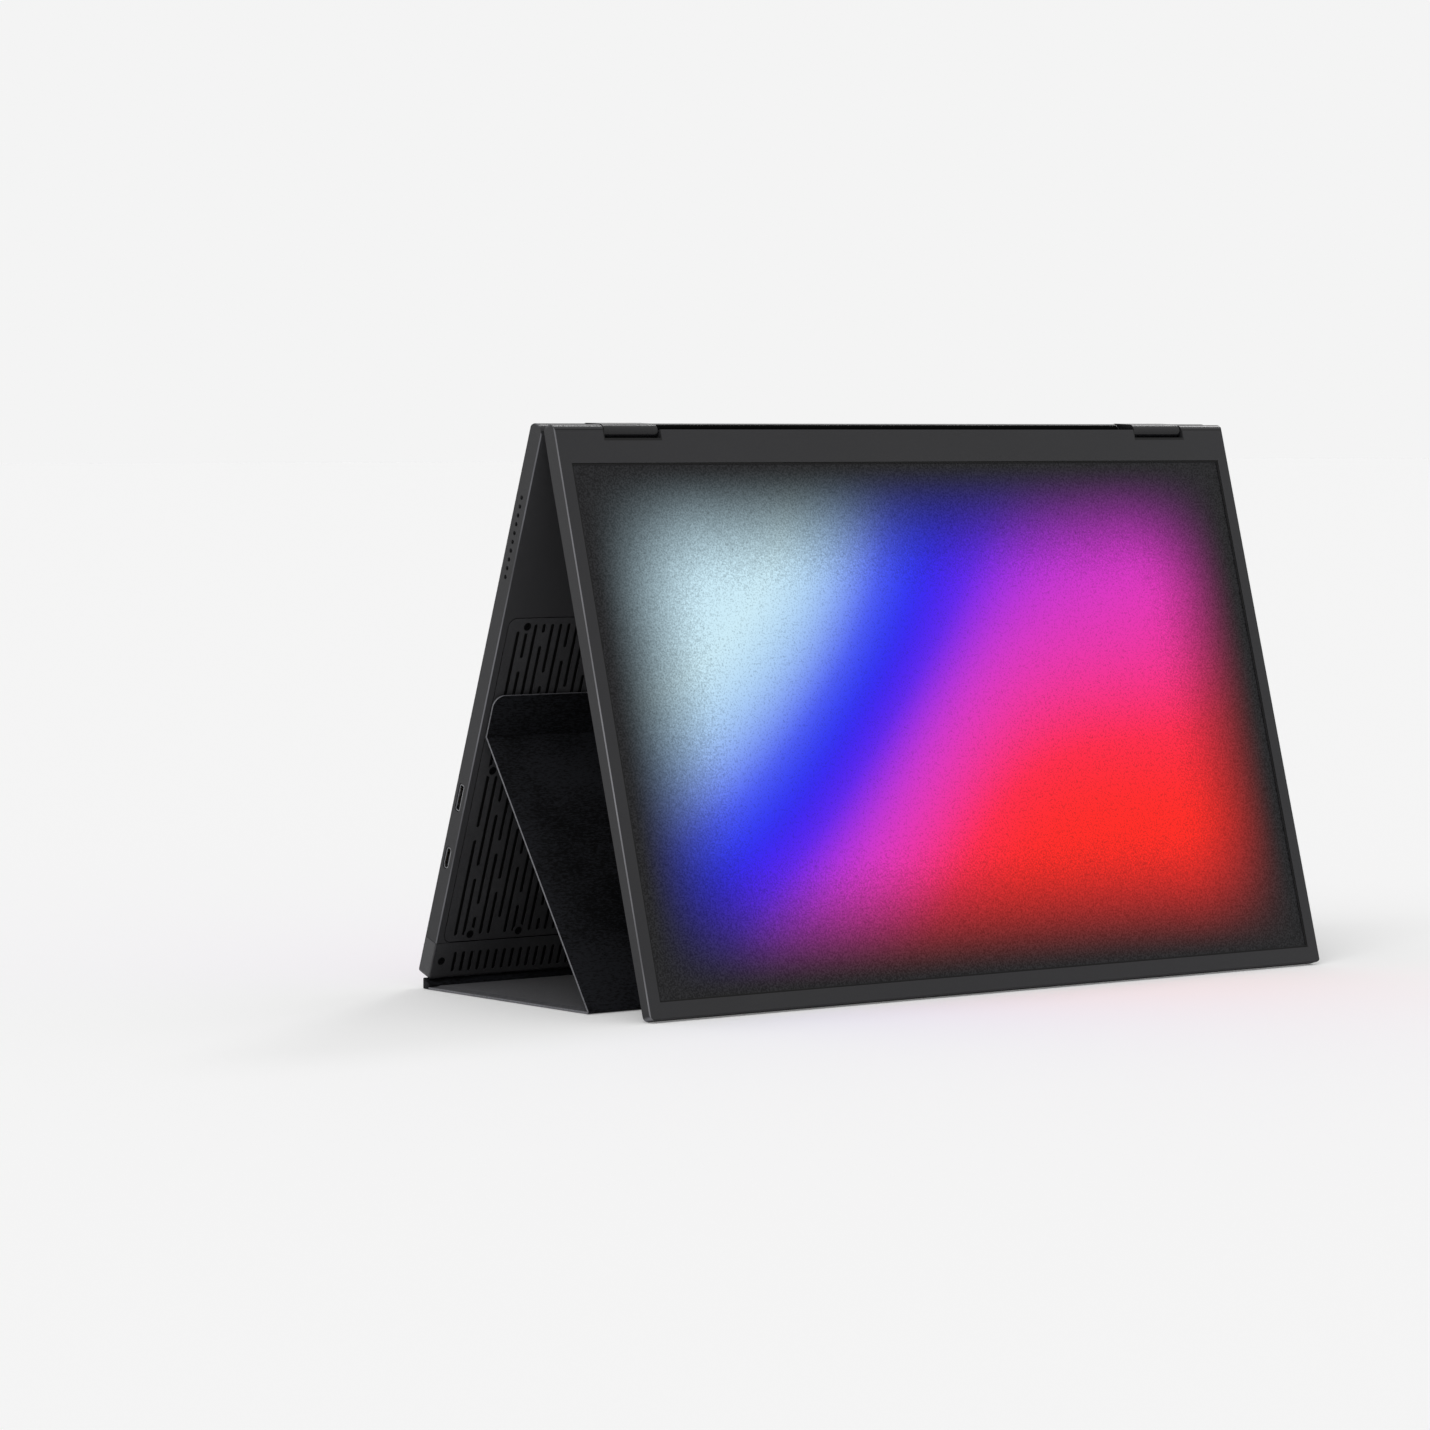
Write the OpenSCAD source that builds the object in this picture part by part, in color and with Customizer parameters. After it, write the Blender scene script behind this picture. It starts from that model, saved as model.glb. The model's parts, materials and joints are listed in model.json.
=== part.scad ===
// Portable monitor with two hinged screens and a folding cover, standing as a tent on a desk.
// X runs along the hinge, -Y is the side that the flip screen faces, and Z is up from the desk.
// Each panel is drawn in its own frame: Z up to the hinge edge, +Y out of the screen, origin on its
// hinge axis. The origin of the whole model is on the desk, under the middle of the model.

/* [Panels] */
// Thickness of the main panel
main_t = 8.2; // [7.8:0.1:10]
// Thickness of the flip panel at its hinge edge
flip_t = 7.3; // [7:0.1:9]
// Thickness of the flip panel at its free edge
flip_tip_t = 4.9; // [4.6:0.1:6.8]
// Corner radius of both panels, seen square on
corner_r = 2.5; // [1:0.1:5]
// Chamfer along the sides of both panels
side_chamfer = 0.4; // [0.1:0.05:0.6]
// Rounding of the main panel's bottom edge
main_edge_r = 1.8; // [0.6:0.1:2.4]
// Rounding of the flip panel's free edge
flip_edge_r = 0.8; // [0.4:0.1:1.6]
// Wall of both housings
wall = 1.2; // [1:0.1:1.4]
// Back wall of the main housing, behind its circuit boards
main_back_wall = 2; // [1.8:0.1:2.2]

/* [Screens] */
// Width of each lit area
active_w = 344.7; // [320:0.1:380]
// Height of each lit area
active_h = 215.4; // [200:0.1:240]
// Bezels at the sides of both screens
side_bezel = 5.85; // [5.2:0.05:9]
// Bezel of the main screen on its hinge side
main_top_bezel = 9.4; // [9.2:0.1:10.5]
// Bezel of the main screen at its bottom edge
main_bottom_bezel = 15.4; // [14:0.1:17]
// Bezel of the flip screen on its hinge side
flip_top_bezel = 16.7; // [15:0.1:18]
// Bezel of the flip screen at its free edge
flip_free_bezel = 6.8; // [6:0.1:8]
// Thickness of the bezel frames
bezel_t = 0.7; // [0.5:0.05:0.9]
// Thickness of the display glass
display_t = 0.5; // [0.4:0.05:0.7]
// Thickness of the backlight unit
backlight_t = 0.9; // [0.7:0.05:1]
// Dark border of the display glass round the lit area
display_border = 1.5; // [1:0.1:2]
// How much smaller the backlight is than the glass on each side
backlight_inset = 0.4; // [0.2:0.1:0.8]

/* [Hinge] */
// Distance from each hinge edge to its hinge axis
axis_inset = 2.8; // [2.6:0.05:3]
// Distance between the two hinge axes
axis_gap = 9.1; // [8.8:0.05:10]
// Radius of the hinge knuckles
knuckle_r = 3.1; // [2.9:0.05:3.2]
// Width of each knuckle along the hinge
knuckle_w = 26.4; // [22:0.2:32]
// Distance from the panel's side to the middle of a knuckle
knuckle_from_side = 37.7; // [36:0.1:50]
// Clearance round a knuckle in its notch
knuckle_gap = 0.6; // [0.4:0.1:1]
// Wall of the knuckle shell
knuckle_wall = 0.8; // [0.6:0.1:0.9]
// Step of the flip panel's hinge edge between the knuckles
mid_step = 3; // [1:0.1:3.4]
// Radius of the hinge shafts
shaft_r = 1.25; // [1:0.05:1.3]
// Running clearance of a shaft in its friction block, on the radius
shaft_clearance = 0.05; // [0.02:0.01:0.08]
// Length of a friction block along its shafts
block_w = 14; // [8:0.5:18]
// Wall of the eye that holds a shaft
eye_wall = 0.8; // [0.6:0.1:0.9]
// Length of that eye along the shaft
eye_w = 7; // [4:0.5:9]
// Width of a hinge leaf
leaf_w = 16; // [12:0.5:18]
// Reach of a hinge leaf into its panel
leaf_len = 21; // [16:0.5:22]
// Thickness of a hinge leaf
leaf_t = 1; // [0.8:0.1:1.1]
// Height of the pads that a leaf is screwed to
leaf_seat = 0.3; // [0.2:0.1:0.4]

/* [Stance] */
// Lean of the main panel from upright
main_lean = 20; // [16:0.5:24]
// Height of the main panel's bottom edge over the desk
main_lift = 4; // [3.4:0.1:5.5]

/* [Cover] */
// Thickness of the cover
cover_t = 1.8; // [1.6:0.1:2.2]
// Length of the floor flap, between its two folds
flap_len = 110.6; // [100:0.2:114]
// Length of the riser, between its two folds
riser_len = 127.6; // [120:0.2:132]
// Length of the strip that lies on the main panel's back
strip_len = 18.2; // [14:0.2:24]
// Corner radius of that strip
strip_r = 5; // [2:0.5:8]
// Overhang of the cover past each side of the panels
cover_overhang = 0.6; // [0:0.1:1.5]
// Distance from the panel's side to the end of the strip
strip_inset = 2.5; // [1:0.1:6]
// Depth of the spine under the main panel's bottom edge
spine_reach = 3.2; // [3:0.1:5]
// Thickness of the stiffening boards in the cover
board_t = 0.8; // [0.5:0.1:0.9]
// Margin of fabric round a stiffening board
board_margin = 3; // [2:0.5:6]
// Gap between pieces that fold or lie on each other
soft_gap = 0.3; // [0.25:0.05:0.4]

/* [Vent plate] */
// Distance from the hinge edge to the plate
plate_from_top = 81.2; // [70:0.1:90]
// Margin of the housing beside the plate
plate_side = 3.6; // [3:0.1:8]
// Thickness of the plate
plate_t = 1.2; // [1:0.1:1.3]
// Groove round the plate
plate_gap = 0.35; // [0.2:0.05:0.5]
// Corner radius of the plate
plate_r = 3.5; // [2:0.5:6]
// Width of a slot
slot_w = 1.6; // [1.2:0.1:2]
// Distance between slots
slot_pitch = 4.08; // [3.6:0.02:5]
// Depth of the slots
slot_depth = 0.7; // [0.4:0.1:0.8]
// Margin of the plate round its slots
slot_margin = 2.6; // [2:0.1:6]
// Unslotted stretch between two slots in one column
slot_break = 5.7; // [4:0.1:8]
// Height of the bottom cap
cap_len = 16.6; // [13:0.1:18]
// Height of the vents in the bottom cap
cap_vent_len = 9; // [6:0.5:10]
// Margin beside the vents in the bottom cap
cap_vent_margin = 10.5; // [8:0.5:20]
// Seam between the housing and its bottom cap
seam = 0.2; // [0.1:0.05:0.3]

/* [Ports and buttons] */
// Distance from the bottom edge to the video port
video_port_from_bottom = 79.6; // [72:0.1:88]
// Distance from the bottom edge to the power and data port
usb_port_from_bottom = 53; // [46:0.1:58]
// Depth of the port sockets
port_depth = 7.3; // [6.5:0.1:8]
// Number of speaker holes on each side
speaker_holes = 10; // [6:1:12]
// Distance between speaker holes
speaker_pitch = 3.74; // [3.4:0.01:4]
// Distance from the hinge edge to the middle of the speaker holes
speaker_from_top = 47.9; // [44:0.1:56]
// Distance from the hinge edge to the power button
power_from_top = 84; // [78:0.5:92]
// Distance from the hinge edge to the menu button
menu_from_top = 106; // [100:0.5:120]
// Travel of a button
button_travel = 0.5; // [0.3:0.1:0.6]

/* [Hidden] */
$fn = 48;

housing_grey = "#3b3b3d";
bezel_grey = "#373739";
vent_black = "#1d1d1f";
glass_black = "#101014";
backlight_grey = "#8f9194";
board_green = "#1f4a33";
chip_black = "#151517";
ribbon_amber = "#9a6a2c";
steel = "#9c9ea2";
magnet_grey = "#77797d";
rubber_black = "#141414";
fabric_black = "#17171a";
fabric_edge = "#232326";
stiffener_tan = "#8d8063";

// Levels in each panel, from its middle out to its screen face
main_split = main_t/2 - bezel_t;
flip_split = flip_t/2 - bezel_t;
lcd_t = display_t + backlight_t;
panel_w = active_w + 2*side_bezel;
main_len = main_top_bezel + active_h + main_bottom_bezel;
flip_len = flip_top_bezel + active_h + flip_free_bezel;
main_low = axis_inset - main_len;
flip_low = axis_inset - flip_len;
panel_side = panel_w/2;
flip_tip_back = flip_t/2 - flip_tip_t;

// Stance: the flip panel leans until its free edge stands on the desk
main_axis_z = main_lift + main_edge_r + (main_t/2 - main_edge_r)*sin(main_lean)
    - (main_low + main_edge_r)*cos(main_lean);
flip_foot_y = flip_tip_back + flip_edge_r;
flip_foot_z = -(flip_low + flip_edge_r);
flip_foot_reach = norm([flip_foot_y, flip_foot_z]);
function axis_height(lean) = main_axis_z - axis_gap*sin((main_lean - lean)/2);
function lean_on_desk(lean) = acos((axis_height(lean) - flip_edge_r)/flip_foot_reach)
    - atan2(flip_foot_y, flip_foot_z);
function settled(lean, tries) = tries == 0 ? lean : settled(lean_on_desk(lean), tries - 1);
flip_lean = settled(main_lean, 10);
link_tilt = (main_lean - flip_lean)/2;

// The model is centred between the screen faces' lower edges
main_reach = (main_t/2 - main_edge_r)*cos(main_lean) - (main_low + main_edge_r)*sin(main_lean)
    + main_edge_r;
flip_reach = (flip_t/2 - flip_edge_r)*cos(flip_lean) - (flip_low + flip_edge_r)*sin(flip_lean)
    + flip_edge_r;
main_axis_y = (axis_gap*cos(link_tilt) + flip_reach - main_reach)/2;
flip_axis_y = main_axis_y - axis_gap*cos(link_tilt);
flip_axis_z = axis_height(flip_lean);

// A point of the main panel's side view, as desk [y, z]
function main_point(y, z) = [
    main_axis_y + y*cos(main_lean) - z*sin(main_lean),
    main_axis_z + y*sin(main_lean) + z*cos(main_lean)
];

// Knuckles and their notches, as distances from the middle of the hinge
knuckle_x = panel_side - knuckle_from_side;
notch_in_x = knuckle_x - knuckle_w/2 - knuckle_gap;
notch_out_x = knuckle_x + knuckle_w/2 + knuckle_gap;
notch_z = -knuckle_r - knuckle_gap;
pocket_x = notch_out_x + wall;
block_x = knuckle_x + knuckle_w/2 - knuckle_wall - block_w;
shaft_head_r = shaft_r + 0.5;
shaft_head_t = 0.8;
end_play = 0.1;
eye_x = pocket_x + soft_gap;
eye_r = shaft_r + eye_wall;
eye_gap = 0.1;
leaf_z = -leaf_len;
fit_gap = 0.05;
leaf_holes = [[3, -7], [leaf_w - 3, -7], [leaf_w/2, 3 - leaf_len]];

// Screws of the leaves and boards
small_head_r = 1.5;
small_head_t = 0.6;
small_shank_r = 0.7;
thread_depth = 0.9;

// Screws of the vent plate and the bottom cap
plate_mid_screws = 147.4;
upper_screw_in = 12.9;
mid_screw_in = 10.5;
inner_screw_x = 60;
lower_screw_in = 16.2;
lower_second_in = 40.3;
screw_margin = 3.6;
low_screw_margin = 2.8;
cap_screw_in = 4.6;
cap_screw_drop = 8.2;
cap_mid_drop = 2.2;
plate_head_r = 1.7;
plate_head_t = 0.8;
plate_shank_r = 0.8;
head_recess = plate_head_t + fit_gap;
tab_half_w = 3;
tab_t = 2.2;
tab_gap = 0.1;
plate_low = main_low + cap_len + plate_gap;
plate_top = axis_inset - plate_from_top;
plate_half = panel_side - plate_side;
plate_mid = axis_inset - plate_mid_screws;
plate_screws = [
    [panel_side - upper_screw_in, plate_top - screw_margin], [0, plate_top - screw_margin],
    [panel_side - mid_screw_in, plate_mid], [inner_screw_x, plate_mid],
    [panel_side - lower_screw_in, plate_low + low_screw_margin],
    [panel_side - lower_second_in, plate_low + low_screw_margin], [0, plate_low + low_screw_margin]
];
cap_top = main_low + cap_len;
cap_screws = [[panel_side - cap_screw_in, cap_top - cap_screw_drop], [0, cap_top - cap_mid_drop]];
keepout_margin = 1.2;
screw_keepout = plate_head_r + keepout_margin;

// Circuit boards, ports and buttons of the main panel
pcb_t = 1;
pcb_lift = 0.9;
main_floor = -main_t/2 + main_back_wall;
pcb_y = main_floor + pcb_lift;
main_lcd_back = main_split - lcd_t;
flip_lcd_back = flip_split - lcd_t;
video_z = main_low + video_port_from_bottom;
usb_z = main_low + usb_port_from_bottom;
pcb_w = 105.5;
pcb_side_gap = 1.5;
pcb_from_bottom = 29.4;
pcb_over_port = 12.5;
pcb_x = [-panel_side + wall + pcb_side_gap, -panel_side + wall + pcb_side_gap + pcb_w];
pcb_z = [main_low + pcb_from_bottom, video_z + pcb_over_port];
chip_t = 0.9;
driver_board_w = 150;
driver_board_h = 20;
driver_board_start = -20;
driver_board_from_bottom = 27.4;
driver_z = main_low + driver_board_from_bottom;
ribbon_w = 8;
ribbon_t = 0.3;
ribbon_rise = 11;
ribbon_lap = 14;
ribbon_free = 6;
flip_board_w = 150;
flip_board_h = 14;
flip_board_drop = 3.1;
flip_board_z = axis_inset - flip_top_bezel - flip_board_drop;
flip_ribbon_x = 40;
flip_ribbon_w = 24;
flip_ribbon_lap = 10;
usb_w = 8.94;
usb_h = 3.26;
video_w = 11.2;
video_h = 2.9;
video_r = 0.8;
usb_r = 1.55;
port_wall = 0.3;
port_gap = 0.35;
port_recess = 0.3;
port_y = main_lcd_back - soft_gap/2 - usb_h/2;
boss_from_edge = 4;
boss_from_ports = 12;
board_bosses = [
    [pcb_x[0] + boss_from_ports, pcb_z[0] + boss_from_edge],
    [pcb_x[1] - boss_from_edge, pcb_z[0] + boss_from_edge],
    [pcb_x[0] + boss_from_ports, pcb_z[1] - boss_from_edge],
    [pcb_x[1] - boss_from_edge, pcb_z[1] - boss_from_edge]
];
boss_r = 2.2;
speaker_z = axis_inset - speaker_from_top;
speaker_hole_r = 0.9;
speaker_len = 38;
speaker_w = 12;
speaker_h = 3.1;
button_len = 9;
button_w = 2.6;
button_gap = 0.15;
button_depth = 2.2;
flange_rim = 0.5;
flange_t = 0.6;
power_z = axis_inset - power_from_top;
menu_z = axis_inset - menu_from_top;
button_y = port_y;
switch_x = panel_side - button_depth - button_travel - 0.1;
switch_depth = 1.6;
bracket_t = 1.2;
bracket_h = 1.5;
bracket_half = 1;
switch_ends = 8;
closed_gap = axis_gap - main_t/2 - flip_t/2;
bumper_r = 2;
bumper_in = 3;
upper_bumper_z = -60;
bumper_from_bottom = 12;

// Cover: folds are at the middle of its thickness
half_cover = cover_t/2;
panel_corner = main_point(-main_t/2, main_low);
spine_flat = main_point(-main_t/2 + main_edge_r, main_low);
spine_back = main_point(-main_t/2 + spine_reach, main_low);
flap_fold = [panel_corner[0] - 1.5, half_cover];
riser_fold = [flap_fold[0] - flap_len, half_cover];
strip_line = main_point(-main_t/2 - soft_gap - half_cover, 0);
up_main = [-sin(main_lean), cos(main_lean)];
to_line = riser_fold - strip_line;
along = to_line*up_main;
strip_fold = strip_line + up_main*(along + sqrt(riser_len^2 - to_line*to_line + along^2));
riser_turn = atan2(strip_fold[0] - riser_fold[0], strip_fold[1] - riser_fold[1]);
fold_start = half_cover/tan((90 - riser_turn)/2) + soft_gap/sin(90 - riser_turn);
flap_w = panel_w + 2*cover_overhang;
strip_w = panel_w - 2*strip_inset;
board_fit = 0.05;
strip_mid_z = (strip_fold - strip_line)*up_main + strip_len/2;
magnet_len = 20;
magnet_w = 8;
magnet_t = 0.8;
magnet_pitch = 58;
magnet_xs = [for (x = [-2.5:2.5]) x*magnet_pitch];

// Frames of the panels, the link between them and the cover's pieces
module at_main() {
    translate([0, main_axis_y, main_axis_z]) rotate([main_lean, 0, 0]) children();
}

module at_flip() {
    translate([0, flip_axis_y, flip_axis_z]) rotate([-flip_lean, 0, 0]) rotate([0, 0, 180]) children();
}

module at_link() {
    translate([0, main_axis_y, main_axis_z]) rotate([link_tilt, 0, 0]) children();
}

module at_riser() {
    translate([0, riser_fold[0], riser_fold[1]]) rotate([-riser_turn, 0, 0]) children();
}

module at_strip() {
    translate([0, strip_fold[0], strip_fold[1]]) rotate([main_lean, 0, 0]) children();
}

module both_sides() {
    children();
    mirror([1, 0, 0]) children();
}

// Extrudes a side view, drawn as [y, z], from x0 to x1
module along_x(x0, x1) {
    translate([x0, 0, 0]) rotate([90, 0, 90]) linear_extrude(x1 - x0) children();
}

// Extrudes a front view, drawn as [x, z], from y0 to y1
module along_y(y0, y1) {
    translate([0, y1, 0]) rotate([90, 0, 0]) linear_extrude(y1 - y0) children();
}

module box(low, high) {
    translate(low) cube(high - low);
}

module area(low, high) {
    translate(low) square(high - low);
}

module round_area(low, high, r) {
    area([low[0] + r, low[1]], [high[0] - r, high[1]]);
    area([low[0], low[1] + r], [high[0], high[1] - r]);
    for (x = [low[0] + r, high[0] - r], z = [low[1] + r, high[1] - r]) translate([x, z]) circle(r);
}

// A slot of width w that stands from z0 to z1
module upright_slot(x, z0, z1, w) {
    area([x - w/2, z0 + w/2], [x + w/2, z1 - w/2]);
    translate([x, z0 + w/2]) circle(d = w);
    translate([x, z1 - w/2]) circle(d = w);
}

// A screw along Y with its head on y = 0 and its shank towards -Y
module screw(head_r, head_t, shank_r, shank_len) {
    rotate([90, 0, 0]) cylinder(r = shank_r, h = shank_len);
    difference() {
        rotate([-90, 0, 0]) cylinder(r = head_r, h = head_t);
        for (turn = [0, 90])
            translate([0, head_t, 0]) rotate([0, turn, 0])
                cube([head_r*1.2, head_t, head_r*0.3], center = true);
    }
}

// Side view of a panel: round along the hinge, straight down the screen, and tapering behind it
module panel_profile(t, tip_t, len, r) {
    top = axis_inset - t/2;
    low = axis_inset - len;
    back = t/2 - tip_t;
    translate([0, top]) circle(d = t);
    polygon([[back, low + r], [t/2, low + r], [t/2, top], [-t/2, top]]);
    polygon([[back + r, low], [t/2 - r, low], [t/2 - r, top], [r - t/2, top]]);
    translate([t/2 - r, low + r]) circle(r);
    translate([back + r, low + r]) circle(r);
}

module panel_body(t, tip_t, len, r) {
    difference() {
        intersection() {
            along_x(-panel_side, panel_side) panel_profile(t, tip_t, len, r);
            along_y(-t, t)
                round_area([-panel_side, axis_inset - len], [panel_side, axis_inset + 1], corner_r);
        }
        both_sides() {
            translate([panel_side, t/2, 0]) rotate([0, 0, 45])
                cube([side_chamfer*sqrt(2), side_chamfer*sqrt(2), 2*len], center = true);
            translate([panel_side, -t/2, axis_inset - t/2])
                rotate([-atan2(t - tip_t, len - t/2), 0, 0]) rotate([0, 0, 45])
                    cube([side_chamfer*sqrt(2), side_chamfer*sqrt(2), 2*len], center = true);
        }
    }
}

// Everything of a panel that is in front of a level, or behind it
module in_front(level) {
    box([-panel_w, level, -2*main_len], [panel_w, 2*main_t, main_len]);
}

module behind(level) {
    box([-panel_w, -2*main_t, -2*main_len], [panel_w, level, main_len]);
}

module notches(t) {
    both_sides() box([notch_in_x, -t, notch_z], [notch_out_x, t, axis_inset + 1]);
}

module step_between_knuckles(t) {
    box([-notch_in_x - 1, -t, axis_inset - mid_step], [notch_in_x + 1, t, axis_inset + 1]);
}

// Room for a hinge leaf, its eye and its shaft beside a notch
module hinge_pocket(t, split) {
    both_sides() {
        difference() {
            union() {
                along_x(pocket_x, panel_side - wall) {
                    translate([0, axis_inset - t/2]) circle(r = t/2 - wall);
                    area([-t/2 + wall, leaf_z - 1], [split, axis_inset - t/2]);
                }
                along_x(pocket_x, eye_x + eye_w + soft_gap) circle(eye_r + eye_gap);
            }
            leaf_pads(t);
        }
        translate([notch_out_x - 1, 0, 0]) rotate([0, 90, 0])
            cylinder(r = shaft_r + 2*shaft_clearance, h = pocket_x - notch_out_x + 2);
    }
}

module leaf_pads(t) {
    for (hole = leaf_holes)
        translate([eye_x + hole[0], leaf_back(t), hole[1]]) rotate([90, 0, 0])
            cylinder(r = boss_r, h = leaf_seat);
}

function leaf_back(t) = -t/2 + wall + leaf_seat;

module leaf_screw_holes(t) {
    both_sides() for (hole = leaf_holes)
        translate([eye_x + hole[0], leaf_back(t), hole[1]]) rotate([90, 0, 0])
            cylinder(r = small_shank_r + fit_gap, h = thread_depth);
}

module display_window(top_bezel) {
    area([-active_w/2, axis_inset - top_bezel - active_h], [active_w/2, axis_inset - top_bezel]);
}

// The glass reaches past the lit area by its border, and "grow" widens it or makes it smaller
module display_outline(top_bezel, grow) {
    edge = display_border + grow;
    area(
        [-active_w/2 - edge, axis_inset - top_bezel - active_h - edge],
        [active_w/2 + edge, axis_inset - top_bezel + edge]
    );
}

module bezel(t, tip_t, len, r, top_bezel) {
    difference() {
        intersection() {
            panel_body(t, tip_t, len, r);
            in_front(t/2 - bezel_t);
        }
        along_y(0, t) display_window(top_bezel);
        notches(t);
    }
}

module display(split, top_bezel) {
    along_y(split - display_t, split) display_outline(top_bezel, 0);
}

module backlight(split, top_bezel) {
    along_y(split - lcd_t, split - display_t) display_outline(top_bezel, -backlight_inset);
}

module hinge_leaf(t) {
    difference() {
        union() {
            translate([eye_x, 0, 0]) rotate([0, 90, 0]) cylinder(r = eye_r, h = eye_w);
            box([eye_x, leaf_back(t), -eye_r], [eye_x + eye_w, 0, -eye_r/2]);
            box([eye_x, leaf_back(t), leaf_z], [eye_x + leaf_w, leaf_back(t) + leaf_t, -eye_r]);
        }
        translate([eye_x - 1, 0, 0]) rotate([0, 90, 0]) cylinder(r = shaft_r + 0.02, h = eye_w + 2);
        for (hole = leaf_holes)
            translate([eye_x + hole[0], leaf_back(t) + 2*leaf_t, hole[1]]) rotate([90, 0, 0])
                cylinder(r = small_shank_r + fit_gap, h = 3*leaf_t);
    }
}

module hinge_shaft() {
    shaft_start = block_x - end_play - shaft_head_t;
    translate([shaft_start, 0, 0]) rotate([0, 90, 0]) {
        cylinder(r = shaft_r, h = eye_x + eye_w - shaft_start);
        cylinder(r = shaft_head_r, h = shaft_head_t);
    }
}

module leaf_screws(t) {
    both_sides() for (hole = leaf_holes)
        translate([eye_x + hole[0], leaf_back(t) + leaf_t, hole[1]])
            screw(small_head_r, small_head_t, small_shank_r, leaf_t + thread_depth - 0.1);
}

module stadium(r) {
    circle(r);
    translate([-axis_gap, 0]) circle(r);
    area([-axis_gap, -r], [0, r]);
}

// Holes, slots and seats of the main panel
module plate_outline(grow) {
    round_area(
        [-plate_half - grow, plate_low - grow], [plate_half + grow, plate_top + grow], plate_r + grow
    );
}

module plate_screw_places() {
    for (place = plate_screws) {
        translate([place[0], 0, place[1]]) children();
        if (place[0] > 0) translate([-place[0], 0, place[1]]) children();
    }
}

module cap_screw_places() {
    for (place = cap_screws) {
        translate([place[0], 0, place[1]]) children();
        if (place[0] > 0) translate([-place[0], 0, place[1]]) children();
    }
}

slot_columns = floor((2*plate_half - 2*slot_margin - slot_w)/slot_pitch) + 1;
slot_top = plate_top - slot_margin;
slot_low = plate_low + slot_margin;
slot_runs = 4;
stagger = 0.382;

// Where the k-th break of a column is: breaks step down the plate from column to column
function break_z(column, k) =
    slot_top - (slot_top - slot_low)*(k + (column*stagger - floor(column*stagger)))/(slot_runs - 1);

module vent_slots() {
    difference() {
        for (column = [0:slot_columns - 1]) {
            x = (column - (slot_columns - 1)/2)*slot_pitch;
            for (run = [0:slot_runs - 1]) {
                high = run == 0 ? slot_top : break_z(column, run - 1) - slot_break/2;
                low = run == slot_runs - 1 ? slot_low : break_z(column, run) + slot_break/2;
                if (high - low > 2*slot_w) upright_slot(x, low, high, slot_w);
            }
        }
        for (place = plate_screws, side = [-1, 1])
            translate([side*place[0], place[1]]) circle(screw_keepout);
    }
}

module port_cutout(w, h, r) {
    rotate([0, 90, 0]) linear_extrude(4*wall, center = true)
        round_area([-w/2 - port_gap, -h/2 - port_gap], [w/2 + port_gap, h/2 + port_gap], r + port_gap);
}

module port_socket(w, h, r, tongue_w, tongue_t) {
    rotate([0, 90, 0]) {
        difference() {
            linear_extrude(port_depth) round_area([-w/2, -h/2], [w/2, h/2], r);
            translate([0, 0, -1]) linear_extrude(port_depth)
                round_area(
                    [port_wall - w/2, port_wall - h/2], [w/2 - port_wall, h/2 - port_wall], r - port_wall
                );
        }
        translate([-tongue_w/2, -tongue_t/2, 1]) cube([tongue_w, tongue_t, port_depth - 1.5]);
    }
}

module button(z) {
    translate([panel_side, button_y, z]) rotate([0, -90, 0]) {
        linear_extrude(button_depth)
            round_area([-button_len/2, -button_w/2], [button_len/2, button_w/2], button_w/2 - 0.1);
        translate([0, 0, wall + fit_gap]) linear_extrude(flange_t)
            round_area(
                [-button_len/2 - flange_rim, -button_w/2 - flange_rim/2],
                [button_len/2 + flange_rim, button_w/2 + flange_rim/2], button_w/2
            );
    }
}

module button_cutout(z) {
    translate([panel_side - wall - 0.5, button_y, z]) rotate([0, 90, 0])
        linear_extrude(2*wall)
            round_area(
                [-button_len/2 - button_gap, -button_w/2 - button_gap],
                [button_len/2 + button_gap, button_w/2 + button_gap], button_w/2
            );
}

// Main panel
module main_bezel() {
    color(bezel_grey) at_main() bezel(main_t, main_t, main_len, main_edge_r, main_top_bezel);
}

module main_display() {
    color(glass_black) at_main() display(main_split, main_top_bezel);
}

module main_backlight() {
    color(backlight_grey) at_main() backlight(main_split, main_top_bezel);
}

module display_bay(top_bezel, split) {
    along_y(split - lcd_t, split + 1) display_outline(top_bezel, 0.2);
}

module main_back_shell() {
    color(housing_grey) at_main() {
        difference() {
            union() {
                intersection() {
                    panel_body(main_t, main_t, main_len, main_edge_r);
                    behind(main_split);
                    box([-panel_w, -main_t, cap_top], [panel_w, main_t, main_len]);
                }
                cap_tabs(0);
            }
            cap_screw_places() rotate([90, 0, 0])
                cylinder(r = plate_shank_r + fit_gap, h = main_t);
            notches(main_t);
            hinge_pocket(main_t, main_split);
            leaf_screw_holes(main_t);
            display_bay(main_top_bezel, main_split);
            difference() {
                box(
                    [-panel_side + wall, main_floor, cap_top + wall],
                    [panel_side - wall, main_split + 1, notch_z - wall]
                );
                board_boss_solids();
            }
            along_y(-main_t, -main_t/2 + plate_t) plate_outline(plate_gap);
            plate_screw_places() rotate([90, 0, 0])
                cylinder(r = plate_shank_r + fit_gap, h = main_t);
            for (boss = board_bosses) translate([boss[0], pcb_y, boss[1]]) rotate([90, 0, 0])
                cylinder(r = small_shank_r + fit_gap, h = thread_depth);
            both_sides() speaker_hole_cuts();
            translate([-panel_side, port_y, video_z]) port_cutout(video_w, video_h, video_r);
            translate([-panel_side, port_y, usb_z]) port_cutout(usb_w, usb_h, usb_r);
            button_cutout(power_z);
            button_cutout(menu_z);
        }
    }
}

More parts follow.
